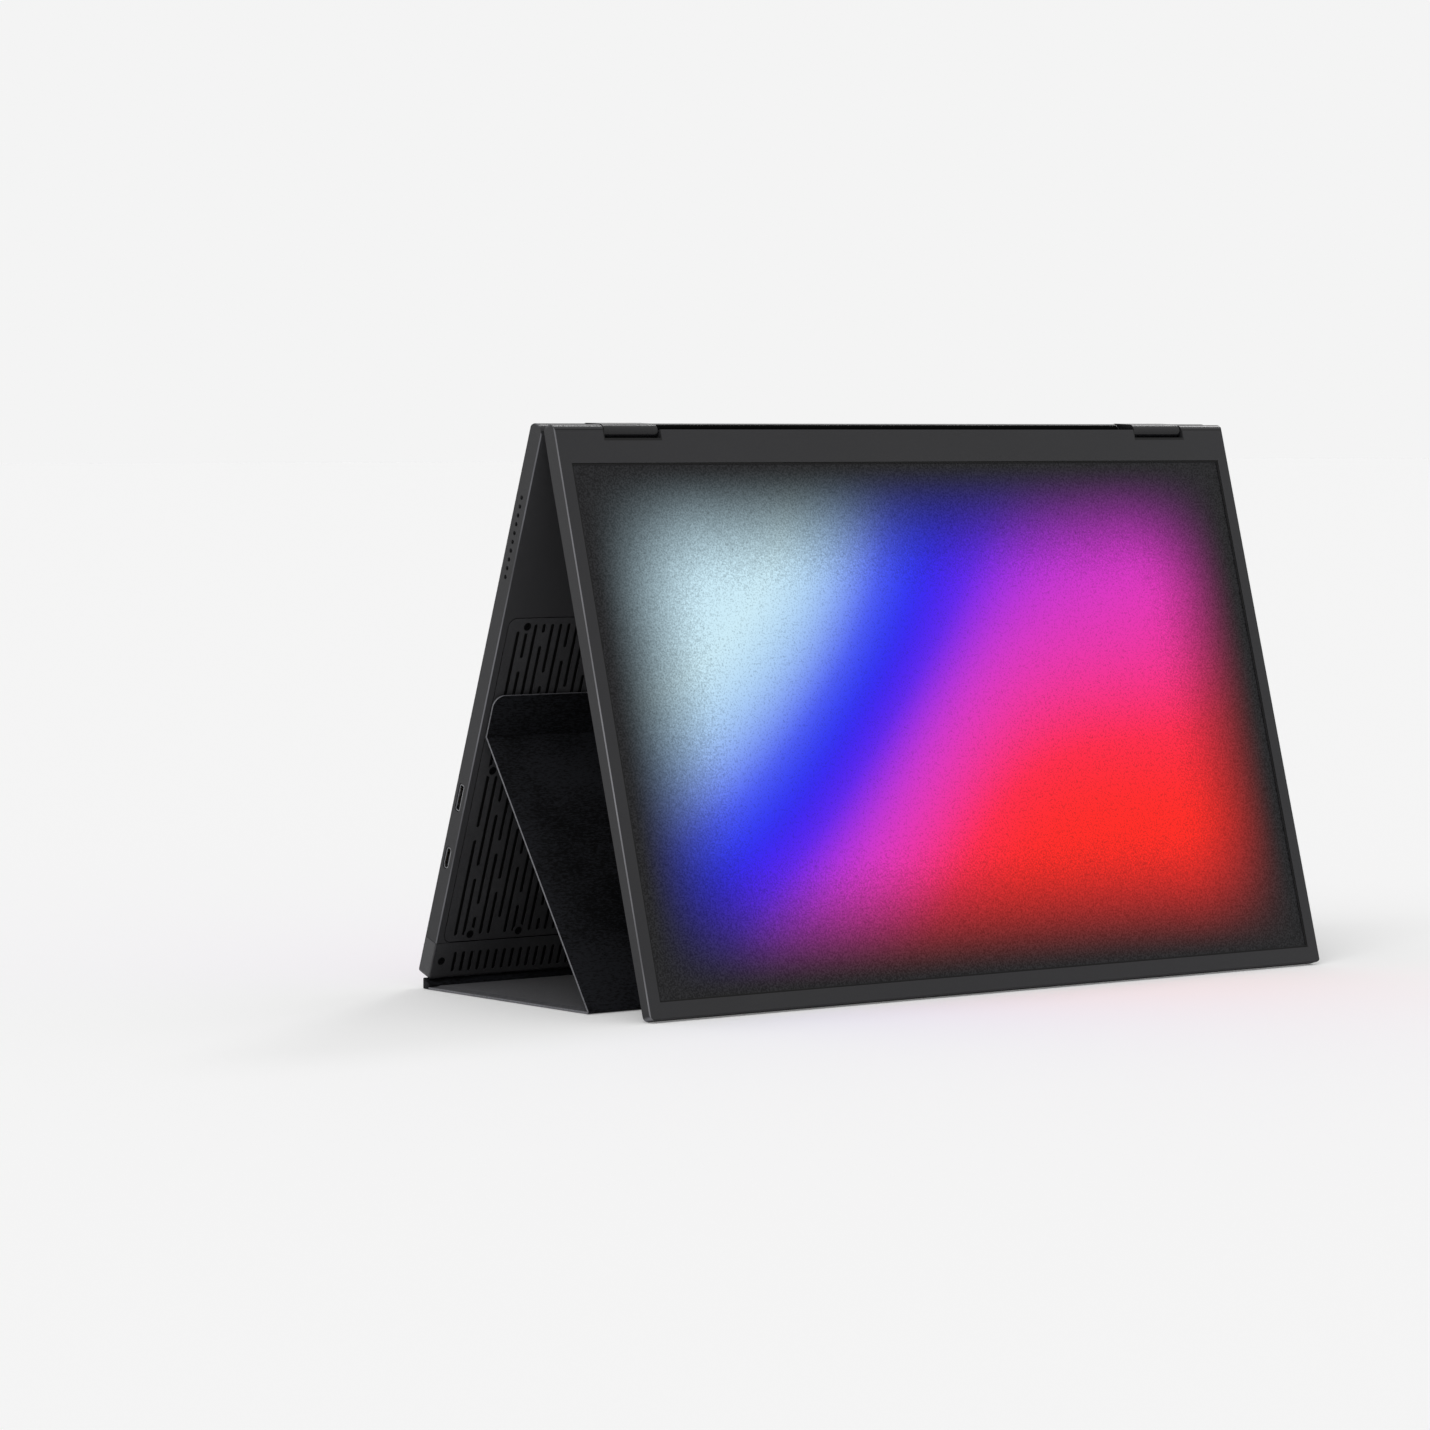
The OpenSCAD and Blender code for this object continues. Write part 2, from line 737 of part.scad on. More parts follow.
module board_boss_solids() {
    for (boss = board_bosses)
        translate([boss[0], pcb_y, boss[1]]) rotate([90, 0, 0]) cylinder(r = boss_r, h = pcb_lift);
    for (end = [-1, 1])
        box(
            [switch_x - switch_depth - pcb_t - bracket_t, main_floor,
                switch_mid_z + end*switch_span/2 - bracket_half],
            [switch_x - switch_depth - pcb_t, main_floor + bracket_h,
                switch_mid_z + end*switch_span/2 + bracket_half]
        );
}

module speaker_hole_cuts() {
    for (hole = [0:speaker_holes - 1])
        translate([panel_side - 2*wall, 0, speaker_z + (hole - (speaker_holes - 1)/2)*speaker_pitch])
            rotate([0, 90, 0]) cylinder(r = speaker_hole_r, h = 3*wall);
}

module vent_plate() {
    color(vent_black) at_main() difference() {
        union() {
            along_y(-main_t/2 + slot_depth, -main_t/2 + plate_t) plate_outline(0);
            along_y(-main_t/2, -main_t/2 + slot_depth) difference() {
                plate_outline(0);
                vent_slots();
            }
        }
        plate_screw_places() translate([0, -main_t/2 - 1, 0]) rotate([-90, 0, 0]) {
            cylinder(r = plate_shank_r + fit_gap, h = 3*plate_t);
            cylinder(r = plate_head_r + fit_gap, h = 1 + head_recess);
        }
    }
}

module bottom_cap() {
    color(vent_black) at_main() difference() {
        intersection() {
            panel_body(main_t, main_t, main_len, main_edge_r);
            behind(main_split);
            box([-panel_w, -main_t, -2*main_len], [panel_w, main_t, cap_top - seam]);
        }
        box(
            [-panel_side + wall, -main_t/2 + wall, main_low + wall],
            [panel_side - wall, main_split + 1, cap_top - seam - wall]
        );
        display_bay(main_top_bezel, main_split);
        cap_vents();
        cap_screw_places() translate([0, -main_t/2 - 1, 0]) rotate([-90, 0, 0]) {
            cylinder(r = plate_head_r + fit_gap, h = 1 + head_recess);
            cylinder(r = plate_shank_r + fit_gap, h = 2*wall);
        }
        cap_tabs(tab_gap);
    }
}

// Tabs of the back shell that reach into the bottom cap and take its screws
module cap_tabs(grow) {
    for (place = cap_screws, side = [-1, 1])
        box(
            [side*place[0] - tab_half_w - grow, -main_t/2 + wall + fit_gap - grow, place[1] - 3 - grow],
            [side*place[0] + tab_half_w + grow, -main_t/2 + wall + tab_t + grow, cap_top + wall]
        );
}

module cap_vents() {
    vent_columns = floor((panel_w - 2*cap_vent_margin)/slot_pitch) + 1;
    vent_low = main_low + (cap_len - cap_vent_len)/2 - 0.6;
    along_y(-main_t, -main_t/2 + slot_depth) difference() {
        for (column = [0:vent_columns - 1])
            upright_slot(
                (column - (vent_columns - 1)/2)*slot_pitch, vent_low, vent_low + cap_vent_len, slot_w
            );
        for (place = cap_screws, side = [-1, 1])
            translate([side*place[0], place[1]]) circle(screw_keepout);
    }
}

module main_circuit_board() {
    color(board_green) at_main() difference() {
        box([pcb_x[0], pcb_y, pcb_z[0]], [pcb_x[1], pcb_y + pcb_t, pcb_z[1]]);
        for (port = [[video_z, video_w], [usb_z, usb_w]])
            box(
                [-panel_w, -main_t, port[0] - port[1]/2 - fit_gap],
                [-panel_side + port_recess + port_depth, main_t, port[0] + port[1]/2 + fit_gap]
            );
        for (boss = board_bosses) translate([boss[0], main_t, boss[1]]) rotate([90, 0, 0])
            cylinder(r = small_shank_r + fit_gap, h = 2*main_t);
    }
    color(chip_black) at_main() for (chip = [[25.5, 36, 12], [55.5, 30, 16], [79.5, 43, 9]])
        translate([pcb_x[0] + chip[0], pcb_y + pcb_t, pcb_z[0] + chip[1]])
            box([-chip[2]/2, 0, -chip[2]/2], [chip[2]/2, chip_t, chip[2]/2]);
}

module main_driver_board() {
    color(board_green) at_main()
        box(
            [driver_board_start, main_lcd_back - pcb_t, driver_z],
            [driver_board_start + driver_board_w, main_lcd_back, driver_z + driver_board_h]
        );
}

// A flat cable from the circuit board across to the back of the driver board
module main_ribbon_cable() {
    start_y = pcb_y + pcb_t;
    end_y = main_lcd_back - pcb_t;
    color(ribbon_amber) at_main() translate([0, 0, driver_z + ribbon_rise]) linear_extrude(ribbon_w)
        polygon([
            [pcb_x[1] - ribbon_lap, start_y], [pcb_x[1] + ribbon_free, start_y],
            [driver_board_start - ribbon_free, end_y - ribbon_t],
            [driver_board_start + ribbon_lap, end_y - ribbon_t], [driver_board_start + ribbon_lap, end_y],
            [driver_board_start - ribbon_free - ribbon_t, end_y],
            [pcb_x[1] + ribbon_free - ribbon_t, start_y + ribbon_t],
            [pcb_x[1] - ribbon_lap, start_y + ribbon_t]
        ]);
}

module speakers() {
    color(chip_black) at_main() both_sides()
        box(
            [panel_side - wall - speaker_w, main_floor, speaker_z - speaker_len/2],
            [panel_side - wall, main_floor + speaker_h, speaker_z + speaker_len/2]
        );
}

module usb_c_port() {
    color(steel) at_main() translate([-panel_side + port_recess, port_y, usb_z])
        port_socket(usb_w, usb_h, usb_r, 6.7, 0.7);
}

module mini_video_port() {
    color(steel) at_main() translate([-panel_side + port_recess, port_y, video_z])
        port_socket(video_w, video_h, video_r, 8.4, 0.6);
}

switch_mid_z = (power_z + menu_z)/2;
switch_span = abs(power_z - menu_z) + 2*switch_ends;

module switch_board() {
    color(board_green) at_main()
        box(
            [switch_x - switch_depth - pcb_t, main_floor, switch_mid_z - switch_span/2],
            [switch_x - switch_depth, button_y + button_w/2, switch_mid_z + switch_span/2]
        );
    color(chip_black) at_main() for (z = [power_z, menu_z])
        box([switch_x - switch_depth, button_y - 1.2, z - 2], [switch_x, button_y + 1.2, z + 2]);
}

module back_magnets() {
    color(magnet_grey) at_main() for (x = magnet_xs)
        box(
            [x - magnet_len/2, main_floor, strip_mid_z - magnet_w/2],
            [x + magnet_len/2, main_floor + magnet_t, strip_mid_z + magnet_w/2]
        );
}

module vent_plate_screws() {
    seat = -main_t/2 + head_recess;
    color(chip_black) at_main() plate_screw_places() translate([0, seat, 0])
        rotate([0, 0, 180]) screw(plate_head_r, plate_head_t, plate_shank_r, main_floor - seat - 0.1);
}

module bottom_cap_screws() {
    color(chip_black) at_main() cap_screw_places() translate([0, -main_t/2 + head_recess, 0])
        rotate([0, 0, 180])
            screw(plate_head_r, plate_head_t, plate_shank_r, wall - head_recess + tab_t - 0.3);
}

module board_screws() {
    color(steel) at_main() for (boss = board_bosses)
        translate([boss[0], pcb_y + pcb_t, boss[1]])
            screw(small_head_r, small_head_t, small_shank_r, pcb_t + thread_depth - 0.1);
}

module screen_bumpers() {
    color(rubber_black) at_main() both_sides() for (z = [upper_bumper_z, main_low + bumper_from_bottom])
        translate([panel_side - bumper_in, main_t/2, z]) rotate([-90, 0, 0])
            cylinder(r = bumper_r, h = closed_gap - soft_gap);
}

module main_hinge_leaves() {
    color(steel) at_main() both_sides() hinge_leaf(main_t);
}

module main_hinge_shafts() {
    color(steel) at_main() both_sides() hinge_shaft();
}

module main_leaf_screws() {
    color(steel) at_main() leaf_screws(main_t);
}

module power_button() {
    color(housing_grey) at_main() button(power_z);
}

module menu_button() {
    color(housing_grey) at_main() button(menu_z);
}

// Link between the panels: one knuckle at each end of the hinge
module knuckle_shells() {
    color(bezel_grey) at_link() both_sides() difference() {
        along_x(knuckle_x - knuckle_w/2, knuckle_x + knuckle_w/2) stadium(knuckle_r);
        along_x(knuckle_x - knuckle_w/2 + knuckle_wall, knuckle_x + knuckle_w/2 - knuckle_wall)
            stadium(knuckle_r - knuckle_wall);
        for (y = [0, -axis_gap])
            translate([knuckle_x, y, 0]) rotate([0, 90, 0])
                cylinder(r = shaft_r + shaft_clearance, h = knuckle_w);
    }
}

module friction_blocks() {
    color(steel) at_link() both_sides() difference() {
        along_x(block_x, block_x + block_w) stadium(knuckle_r - knuckle_wall - fit_gap);
        for (y = [0, -axis_gap])
            translate([block_x - 1, y, 0]) rotate([0, 90, 0])
                cylinder(r = shaft_r + shaft_clearance, h = block_w + 2);
    }
}

// Flip panel
module flip_bezel() {
    color(bezel_grey) at_flip() difference() {
        bezel(flip_t, flip_tip_t, flip_len, flip_edge_r, flip_top_bezel);
        step_between_knuckles(flip_t);
    }
}

module flip_display() {
    color(glass_black) at_flip() display(flip_split, flip_top_bezel);
}

module flip_backlight() {
    color(backlight_grey) at_flip() backlight(flip_split, flip_top_bezel);
}

module flip_back_shell() {
    color(housing_grey) at_flip() difference() {
        intersection() {
            panel_body(flip_t, flip_tip_t, flip_len, flip_edge_r);
            behind(flip_split);
        }
        notches(flip_t);
        step_between_knuckles(flip_t);
        hinge_pocket(flip_t, flip_split);
        leaf_screw_holes(flip_t);
        along_x(-panel_side + wall, panel_side - wall)
            polygon([
                [flip_split + 1, flip_low + wall], [flip_split + 1, notch_z - wall],
                [wall - flip_t/2, notch_z - wall], [wall - flip_t/2, leaf_z - 1],
                [flip_tip_back + wall, flip_low + wall]
            ]);
    }
}

module flip_driver_board() {
    color(board_green) at_flip()
        box(
            [-flip_board_w/2, flip_lcd_back - pcb_t, flip_board_z - flip_board_h],
            [flip_board_w/2, flip_lcd_back, flip_board_z]
        );
}

// A flat cable from the driver board up to the hinge edge
module flip_ribbon_cable() {
    color(ribbon_amber) at_flip()
        box(
            [flip_ribbon_x, flip_lcd_back - pcb_t - ribbon_t, flip_board_z - flip_ribbon_lap],
            [flip_ribbon_x + flip_ribbon_w, flip_lcd_back - pcb_t, notch_z - wall - seam]
        );
}

module flip_hinge_leaves() {
    color(steel) at_flip() both_sides() hinge_leaf(flip_t);
}

module flip_hinge_shafts() {
    color(steel) at_flip() both_sides() hinge_shaft();
}

module flip_leaf_screws() {
    color(steel) at_flip() leaf_screws(flip_t);
}

// Cover
module cover_spine() {
    color(fabric_edge) along_x(-flap_w/2, flap_w/2) {
        polygon([
            [flap_fold[0], 0], [spine_back[0], 0], spine_back, spine_flat, [flap_fold[0], cover_t]
        ]);
        translate(flap_fold) circle(half_cover);
    }
}

module flap_sleeve() {
    color(fabric_black) difference() {
        along_x(-flap_w/2, flap_w/2) {
            area([riser_fold[0], 0], [flap_fold[0] - half_cover - soft_gap, cover_t]);
            translate(riser_fold) circle(half_cover);
        }
        flap_board_space(board_fit);
    }
}

module flap_board_space(grow) {
    side = flap_w/2 - board_margin + grow;
    box(
        [-side, riser_fold[0] + board_margin - grow, half_cover - board_t/2 - grow],
        [side, flap_fold[0] - board_margin + grow, half_cover + board_t/2 + grow]
    );
}

module flap_board() {
    color(stiffener_tan) flap_board_space(0);
}

module riser_sleeve() {
    color(fabric_black) at_riser() difference() {
        union() {
            along_y(-half_cover, half_cover)
                polygon([
                    [-flap_w/2, fold_start], [flap_w/2, fold_start],
                    [strip_w/2, riser_len], [-strip_w/2, riser_len]
                ]);
            translate([-strip_w/2, 0, riser_len]) rotate([0, 90, 0])
                cylinder(r = half_cover, h = strip_w);
        }
        riser_board_space(board_fit);
    }
}

module riser_board_space(grow) {
    side = strip_w/2 - board_margin + grow;
    box(
        [-side, -board_t/2 - grow, fold_start + board_margin - grow],
        [side, board_t/2 + grow, riser_len - board_margin + grow]
    );
}

module riser_board() {
    color(stiffener_tan) at_riser() riser_board_space(0);
}

module strip_sleeve() {
    low = half_cover + soft_gap;
    color(fabric_black) at_strip() difference() {
        along_y(-half_cover, half_cover) {
            area([-strip_w/2, low], [strip_w/2, strip_len - strip_r]);
            round_area([-strip_w/2, low], [strip_w/2, strip_len], strip_r);
        }
        strip_magnet_spaces(board_fit);
    }
}

module strip_magnet_spaces(grow) {
    for (x = magnet_xs)
        box(
            [x - magnet_len/2 - grow, -magnet_t/2 - grow, strip_len/2 - magnet_w/2 - grow],
            [x + magnet_len/2 + grow, magnet_t/2 + grow, strip_len/2 + magnet_w/2 + grow]
        );
}

module strip_magnets() {
    color(magnet_grey) at_strip() strip_magnet_spaces(0);
}

main_bezel();
main_display();
main_backlight();
main_back_shell();
vent_plate();
bottom_cap();
main_circuit_board();
main_driver_board();
main_ribbon_cable();
speakers();
usb_c_port();
mini_video_port();
switch_board();
back_magnets();
vent_plate_screws();
bottom_cap_screws();
board_screws();
screen_bumpers();
main_hinge_leaves();
main_hinge_shafts();
main_leaf_screws();
cover_spine();
power_button();
menu_button();
knuckle_shells();
friction_blocks();
flip_bezel();
flip_display();
flip_backlight();
flip_back_shell();
flip_driver_board();
flip_ribbon_cable();
flip_hinge_leaves();
flip_hinge_shafts();
flip_leaf_screws();
flap_sleeve();
flap_board();
riser_sleeve();
riser_board();
strip_sleeve();
strip_magnets();
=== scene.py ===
# Portable monitor with two screens, standing as a tent on its folding cover
import bpy, bmesh, json, math
from mathutils import Matrix, Vector


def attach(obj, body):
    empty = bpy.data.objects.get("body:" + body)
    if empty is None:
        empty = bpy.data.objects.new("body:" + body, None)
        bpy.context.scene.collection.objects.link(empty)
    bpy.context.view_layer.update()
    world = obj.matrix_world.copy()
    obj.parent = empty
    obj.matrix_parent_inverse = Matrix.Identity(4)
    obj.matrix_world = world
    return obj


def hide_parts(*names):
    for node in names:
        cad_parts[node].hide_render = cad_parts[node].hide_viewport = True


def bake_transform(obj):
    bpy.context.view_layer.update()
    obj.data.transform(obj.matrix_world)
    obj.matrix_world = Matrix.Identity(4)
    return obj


mm = 0.001  # every length in the dictionaries is in millimetres
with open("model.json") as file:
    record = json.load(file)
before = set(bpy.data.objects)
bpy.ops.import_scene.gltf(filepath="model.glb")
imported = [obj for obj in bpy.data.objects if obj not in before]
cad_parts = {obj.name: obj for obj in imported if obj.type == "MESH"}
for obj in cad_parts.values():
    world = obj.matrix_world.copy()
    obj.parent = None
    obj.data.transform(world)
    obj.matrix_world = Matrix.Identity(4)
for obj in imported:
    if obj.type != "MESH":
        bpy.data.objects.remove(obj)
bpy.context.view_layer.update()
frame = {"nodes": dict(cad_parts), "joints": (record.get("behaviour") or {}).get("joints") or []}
nodes = frame["nodes"]
pivots = {joint["name"]: Vector(joint["pos_m"]) for joint in frame["joints"] if joint.get("pos_m")}
print("frame loaded:", len(nodes), "nodes")

stance = {"mainLean": 20.0, "flipLean": 15.5355, "riserTurn": 35.3954}  # degrees from upright


# Camera
camera = {"place": (-1309.4, -1611.2, 224.35), "turn": (86.83, 0.05, -37.21), "lens": 125.2, "sensor": 36,
          "clip": (0.05, 200)}

lensData = bpy.data.cameras.new("camera")
lensData.lens = camera["lens"]
lensData.sensor_width = camera["sensor"]
lensData.clip_start, lensData.clip_end = camera["clip"]
cameraObject = bpy.data.objects.new("camera", lensData)
bpy.context.scene.collection.objects.link(cameraObject)
cameraObject.location = [v*mm for v in camera["place"]]
cameraObject.rotation_euler = [math.radians(v) for v in camera["turn"]]
bpy.context.scene.camera = cameraObject
print("camera set")


# Material helpers
def toLinear(code):
    channels = [int(code[i:i + 2], 16)/255 for i in (1, 3, 5)]
    return [c/12.92 if c <= 0.04045 else ((c + 0.055)/1.055)**2.4 for c in channels] + [1]


# An input is a value, a socket, or a node, which stands for its first output
def addNode(tree, kind, inputs=None, stops=None, **settings):
    node = tree.nodes.new(kind)
    for name, value in settings.items():
        setattr(node, name, value)
    for name, value in (inputs or {}).items():
        if isinstance(value, bpy.types.Node):
            value = value.outputs[0]
        if isinstance(value, bpy.types.NodeSocket):
            tree.links.new(value, node.inputs[name])
        else:
            node.inputs[name].default_value = value
    for i, (position, code) in enumerate(stops or []):
        marks = node.color_ramp.elements
        mark = marks[i] if i < 2 else marks.new(position)
        mark.position, mark.color = position, toLinear(code)
    return node


def startMaterial(name):
    material = bpy.data.materials.new(name)
    material.use_nodes = True
    tree = material.node_tree
    tree.nodes.clear()
    return material, tree, addNode(tree, "ShaderNodeTexCoord").outputs["Object"]


def finishMaterial(tree, shader):
    addNode(tree, "ShaderNodeOutputMaterial", {"Surface": shader})


# Panels: each turns back by its lean about its hinge axis, and its screen faces out
def panelFrame(joint, lean):
    return Matrix.Translation(pivots[joint]) @ Matrix.Rotation(math.radians(lean), 4, "X")


mainFrame = panelFrame("link_turn", stance["mainLean"])
flipFrame = panelFrame("flip_turn", -stance["flipLean"])
screens = {  # in each panel's own frame; side is the way along Y that the screen faces
    "width": 344.7, "height": 215.4,
    "main": {"side": 1, "face": 3.4, "middle": -114.3}, "flip": {"side": -1, "face": 2.95, "middle": -121.6}}


# Moulded plastics: a fine spark-eroded grain and slightly uneven gloss. The colour or smoothness changes over some
# areas, some of them painted highlights and painted shade, each given as a colour, or a number that it is smoother
# by, and the ranges, from none to full, of what it depends on
def mouldedPlastic(name, look, panel=None):
    material, tree, place = startMaterial(name)
    grain = addNode(tree, "ShaderNodeTexNoise", {"Vector": place, "Scale": 1/(look["grain"]*mm), "Detail": 3.0})
    patch = addNode(tree, "ShaderNodeTexNoise", {"Vector": place, "Scale": 1/(look["patch"]*mm), "Detail": 2.0})
    both = addNode(tree, "ShaderNodeMath", {0: grain, 1: patch}, operation="ADD")
    tone = addNode(tree, "ShaderNodeMath", {0: both, 1: 0.5}, operation="MULTIPLY")
    colour = addNode(tree, "ShaderNodeValToRGB", {"Fac": tone}, [(0.35, look["dark"]), (0.65, look["light"])])
    rough = addNode(tree, "ShaderNodeMapRange", {
        "Value": patch, "From Min": 0.3, "From Max": 0.7,
        "To Min": look["rough"] - 0.05, "To Max": look["rough"] + 0.05})
    if panel:  # places and directions in the panel's own frame, in millimetres
        back = panel.to_3x3().inverted()
        spot = addNode(tree, "ShaderNodeMapping", {
            "Vector": place, "Location": -(back @ panel.to_translation())/mm, "Rotation": back.to_euler(),
            "Scale": (1/mm, 1/mm, 1/mm)})
        spot = addNode(tree, "ShaderNodeSeparateXYZ", {"Vector": spot}).outputs
        facing = addNode(tree, "ShaderNodeTexCoord").outputs["Normal"]
        facing = addNode(tree, "ShaderNodeMapping", {"Vector": facing, "Rotation": back.to_euler()})
        facing = addNode(tree, "ShaderNodeSeparateXYZ", {"Vector": facing}).outputs
        measures = {"depth": spot["Y"], "height": spot["Z"], "facesScreen": facing["Y"], "patchiness": patch,
                    "side": addNode(tree, "ShaderNodeMath", {0: spot["X"]}, operation="ABSOLUTE"),
                    "facesSide": addNode(tree, "ShaderNodeMath", {0: facing["X"]}, operation="ABSOLUTE")}
    for change, limits in look.get("areas", []):
        amount = 1.0
        for measure, none, full in limits:
            within = addNode(tree, "ShaderNodeMapRange", {
                "Value": measures[measure], "From Min": none, "From Max": full})
            amount = addNode(tree, "ShaderNodeMath", {0: within, 1: amount}, operation="MULTIPLY")
        if isinstance(change, str):
            mixed = addNode(tree, "ShaderNodeMix", {0: amount, 6: colour, 7: toLinear(change)}, data_type="RGBA")
            colour = mixed.outputs[2]
        else:
            rough = addNode(tree, "ShaderNodeMath", {0: amount, 1: -change, 2: rough}, operation="MULTIPLY_ADD")
    bump = addNode(tree, "ShaderNodeBump", {"Height": grain, "Strength": look["bump"], "Distance": 0.05*mm})
    finishMaterial(tree, addNode(tree, "ShaderNodeBsdfPrincipled", {
        "Base Color": colour, "Roughness": rough, "Normal": bump, "IOR": look["ior"],
        "Specular IOR Level": look["gloss"]}))
    return material


# The chamfers, where the surface turns between side and face: the mask of a painted highlight
chamfers = [("facesSide", 0.3, 0.55), ("facesSide", 0.98, 0.85), ("patchiness", 0.1, 0.6)]
areas = {
    "mainBack": ("#444446", [("facesScreen", -0.85, -0.97)]),  # painted light: the flat backs, which face the shaded inside of the tent, are painted paler than the sides
    "flipBack": ("#444446", [("facesScreen", 0.85, 0.97)]),
    "chamferHighlight": ("#75757a", chamfers),  # a painted highlight along the chamfered edges, broken up by patch noise
    "bezelChamferHighlight": ("#808084", chamfers),
    "slots": ("#040404", [("depth", -4.08, -3.75), ("side", 177.2, 177), ("height", -235.2, -235),
                          ("height", -20, -21)]),  # shade and dust in the slots and screw holes
    "earEdgeShade": ("#0b0b0c", [("height", -0.6, -0.5), ("height", 0.15, 0.05), ("side", 154.2, 154.6),
                             ("facesScreen", -0.9, -0.97)]),  # painted shade: a dark line where the rounded ear meets the flat frame
    "notchShade": ("#050505", [("height", -4.8, -4.6), ("side", 126.1, 126.4), ("side", 154.9, 154.6),
                             ("facesScreen", -0.9, -0.97)]),  # painted shade: a black line on the frame under each knuckle, standing for the shade in its recess
    "hinge": (0.18, [("height", -1.6, -1.0)])}  # the rounded hinge edge is smoother
housing = {  # sides and backs: dark grey, satin
    "dark": "#29292b", "light": "#2f2f31", "rough": 0.38, "grain": 0.7, "patch": 45, "bump": 0.2,
    "ior": 1.5, "gloss": 0.27}
mainHousing = mouldedPlastic("moulded_abs_main_housing", housing | {
    "areas": [areas[k] for k in ("mainBack", "chamferHighlight", "slots", "hinge")]}, mainFrame)
flipHousing = mouldedPlastic("moulded_abs_flip_housing", housing | {
    "areas": [areas[k] for k in ("flipBack", "chamferHighlight", "hinge")]}, flipFrame)
bezelLook = {  # the frames round the screens: smoother
    "dark": "#29292b", "light": "#2e2e30", "rough": 0.4, "grain": 0.5, "patch": 60, "bump": 0.1,
    "ior": 1.5, "gloss": 0.25}
mainBezelPlastic = mouldedPlastic("moulded_abs_main_bezel", bezelLook | {
    "areas": [areas["bezelChamferHighlight"], areas["hinge"]]}, mainFrame)
flipBezelPlastic = mouldedPlastic("moulded_abs_flip_bezel", bezelLook | {
    "areas": [areas[k] for k in ("bezelChamferHighlight", "earEdgeShade", "notchShade", "hinge")]}, flipFrame)
ventPlastic = mouldedPlastic("moulded_abs_vent_plate", {  # slotted back: ridges catch the light, slots stay black
    "dark": "#404042", "light": "#4a4a4c", "rough": 0.46, "grain": 0.8, "patch": 30, "bump": 0.25,
    "ior": 1.5, "gloss": 0.3, "areas": [areas["slots"]]}, mainFrame)
knucklePlastic = mouldedPlastic("moulded_nylon_knuckle", {  # hinge covers: dense, a soft shine along the top
    "dark": "#141416", "light": "#19191b", "rough": 0.24, "grain": 0.6, "patch": 25, "bump": 0.1,
    "ior": 1.53, "gloss": 0.3})
speakerPlastic = mouldedPlastic("moulded_pp_speaker", {  # rough and near black behind the speaker holes
    "dark": "#141415", "light": "#1b1b1c", "rough": 0.6, "grain": 0.6, "patch": 20, "bump": 0.3,
    "ior": 1.49, "gloss": 0.4})
bumperRubber = mouldedPlastic("moulded_silicone_bumper", {  # matt, slightly dusty
    "dark": "#161616", "light": "#1f1f1f", "rough": 0.8, "grain": 0.5, "patch": 8, "bump": 0.4,
    "ior": 1.41, "gloss": 0.3})
backlightPlastic = mouldedPlastic("moulded_pc_backlight", {  # milky light guide, even and pale
    "dark": "#8a8c90", "light": "#9a9ca0", "rough": 0.4, "grain": 1.0, "patch": 30, "bump": 0.1,
    "ior": 1.58, "gloss": 0.5})
print("plastics made")


# Metals: fine lines along X from rolling or grinding
def brushedMetal(name, look):
    material, tree, place = startMaterial(name)
    stretched = addNode(tree, "ShaderNodeMapping", {
        "Vector": place, "Scale": (1/(look["run"]*mm), 1/(look["line"]*mm), 1/(look["line"]*mm))})
    lines = addNode(tree, "ShaderNodeTexNoise", {"Vector": stretched, "Scale": 1.0, "Detail": 4.0})
    colour = addNode(tree, "ShaderNodeValToRGB", {"Fac": lines}, [(0.3, look["dark"]), (0.7, look["light"])])
    rough = addNode(tree, "ShaderNodeMapRange", {
        "Value": lines, "From Min": 0.3, "From Max": 0.7,
        "To Min": look["rough"] - 0.06, "To Max": look["rough"] + 0.06})
    bump = addNode(tree, "ShaderNodeBump", {"Height": lines, "Strength": 0.15, "Distance": 0.02*mm})
    finishMaterial(tree, addNode(tree, "ShaderNodeBsdfPrincipled", {
        "Base Color": colour, "Metallic": look["metal"], "Roughness": rough, "Normal": bump}))
    return material


hingeSteel = brushedMetal("stamped_steel_hinge", {  # grey, with long rolling lines
    "dark": "#8f9093", "light": "#a7a8ab", "rough": 0.36, "run": 4, "line": 0.25, "metal": 1.0})
socketSteel = brushedMetal("drawn_steel_socket", {  # rims of the sockets, bright against the dark wall
    "dark": "#8c8d90", "light": "#a8a9ac", "rough": 0.3, "run": 3, "line": 0.2, "metal": 1.0})
blackScrew = brushedMetal("black_zinc_screw", {  # black plating, a dull gleam
    "dark": "#0e0e0f", "light": "#19191b", "rough": 0.42, "run": 1, "line": 0.3, "metal": 0.6})
magnetNickel = brushedMetal("nickel_plated_magnet", {  # smooth and warm grey
    "dark": "#9a9a98", "light": "#b4b3b0", "rough": 0.25, "run": 2, "line": 0.4, "metal": 1.0})
contactGold = brushedMetal("gold_plated_contact", {  # bright yellow on the tongue
    "dark": "#b58a3c", "light": "#d3a955", "rough": 0.28, "run": 1, "line": 0.2, "metal": 1.0})


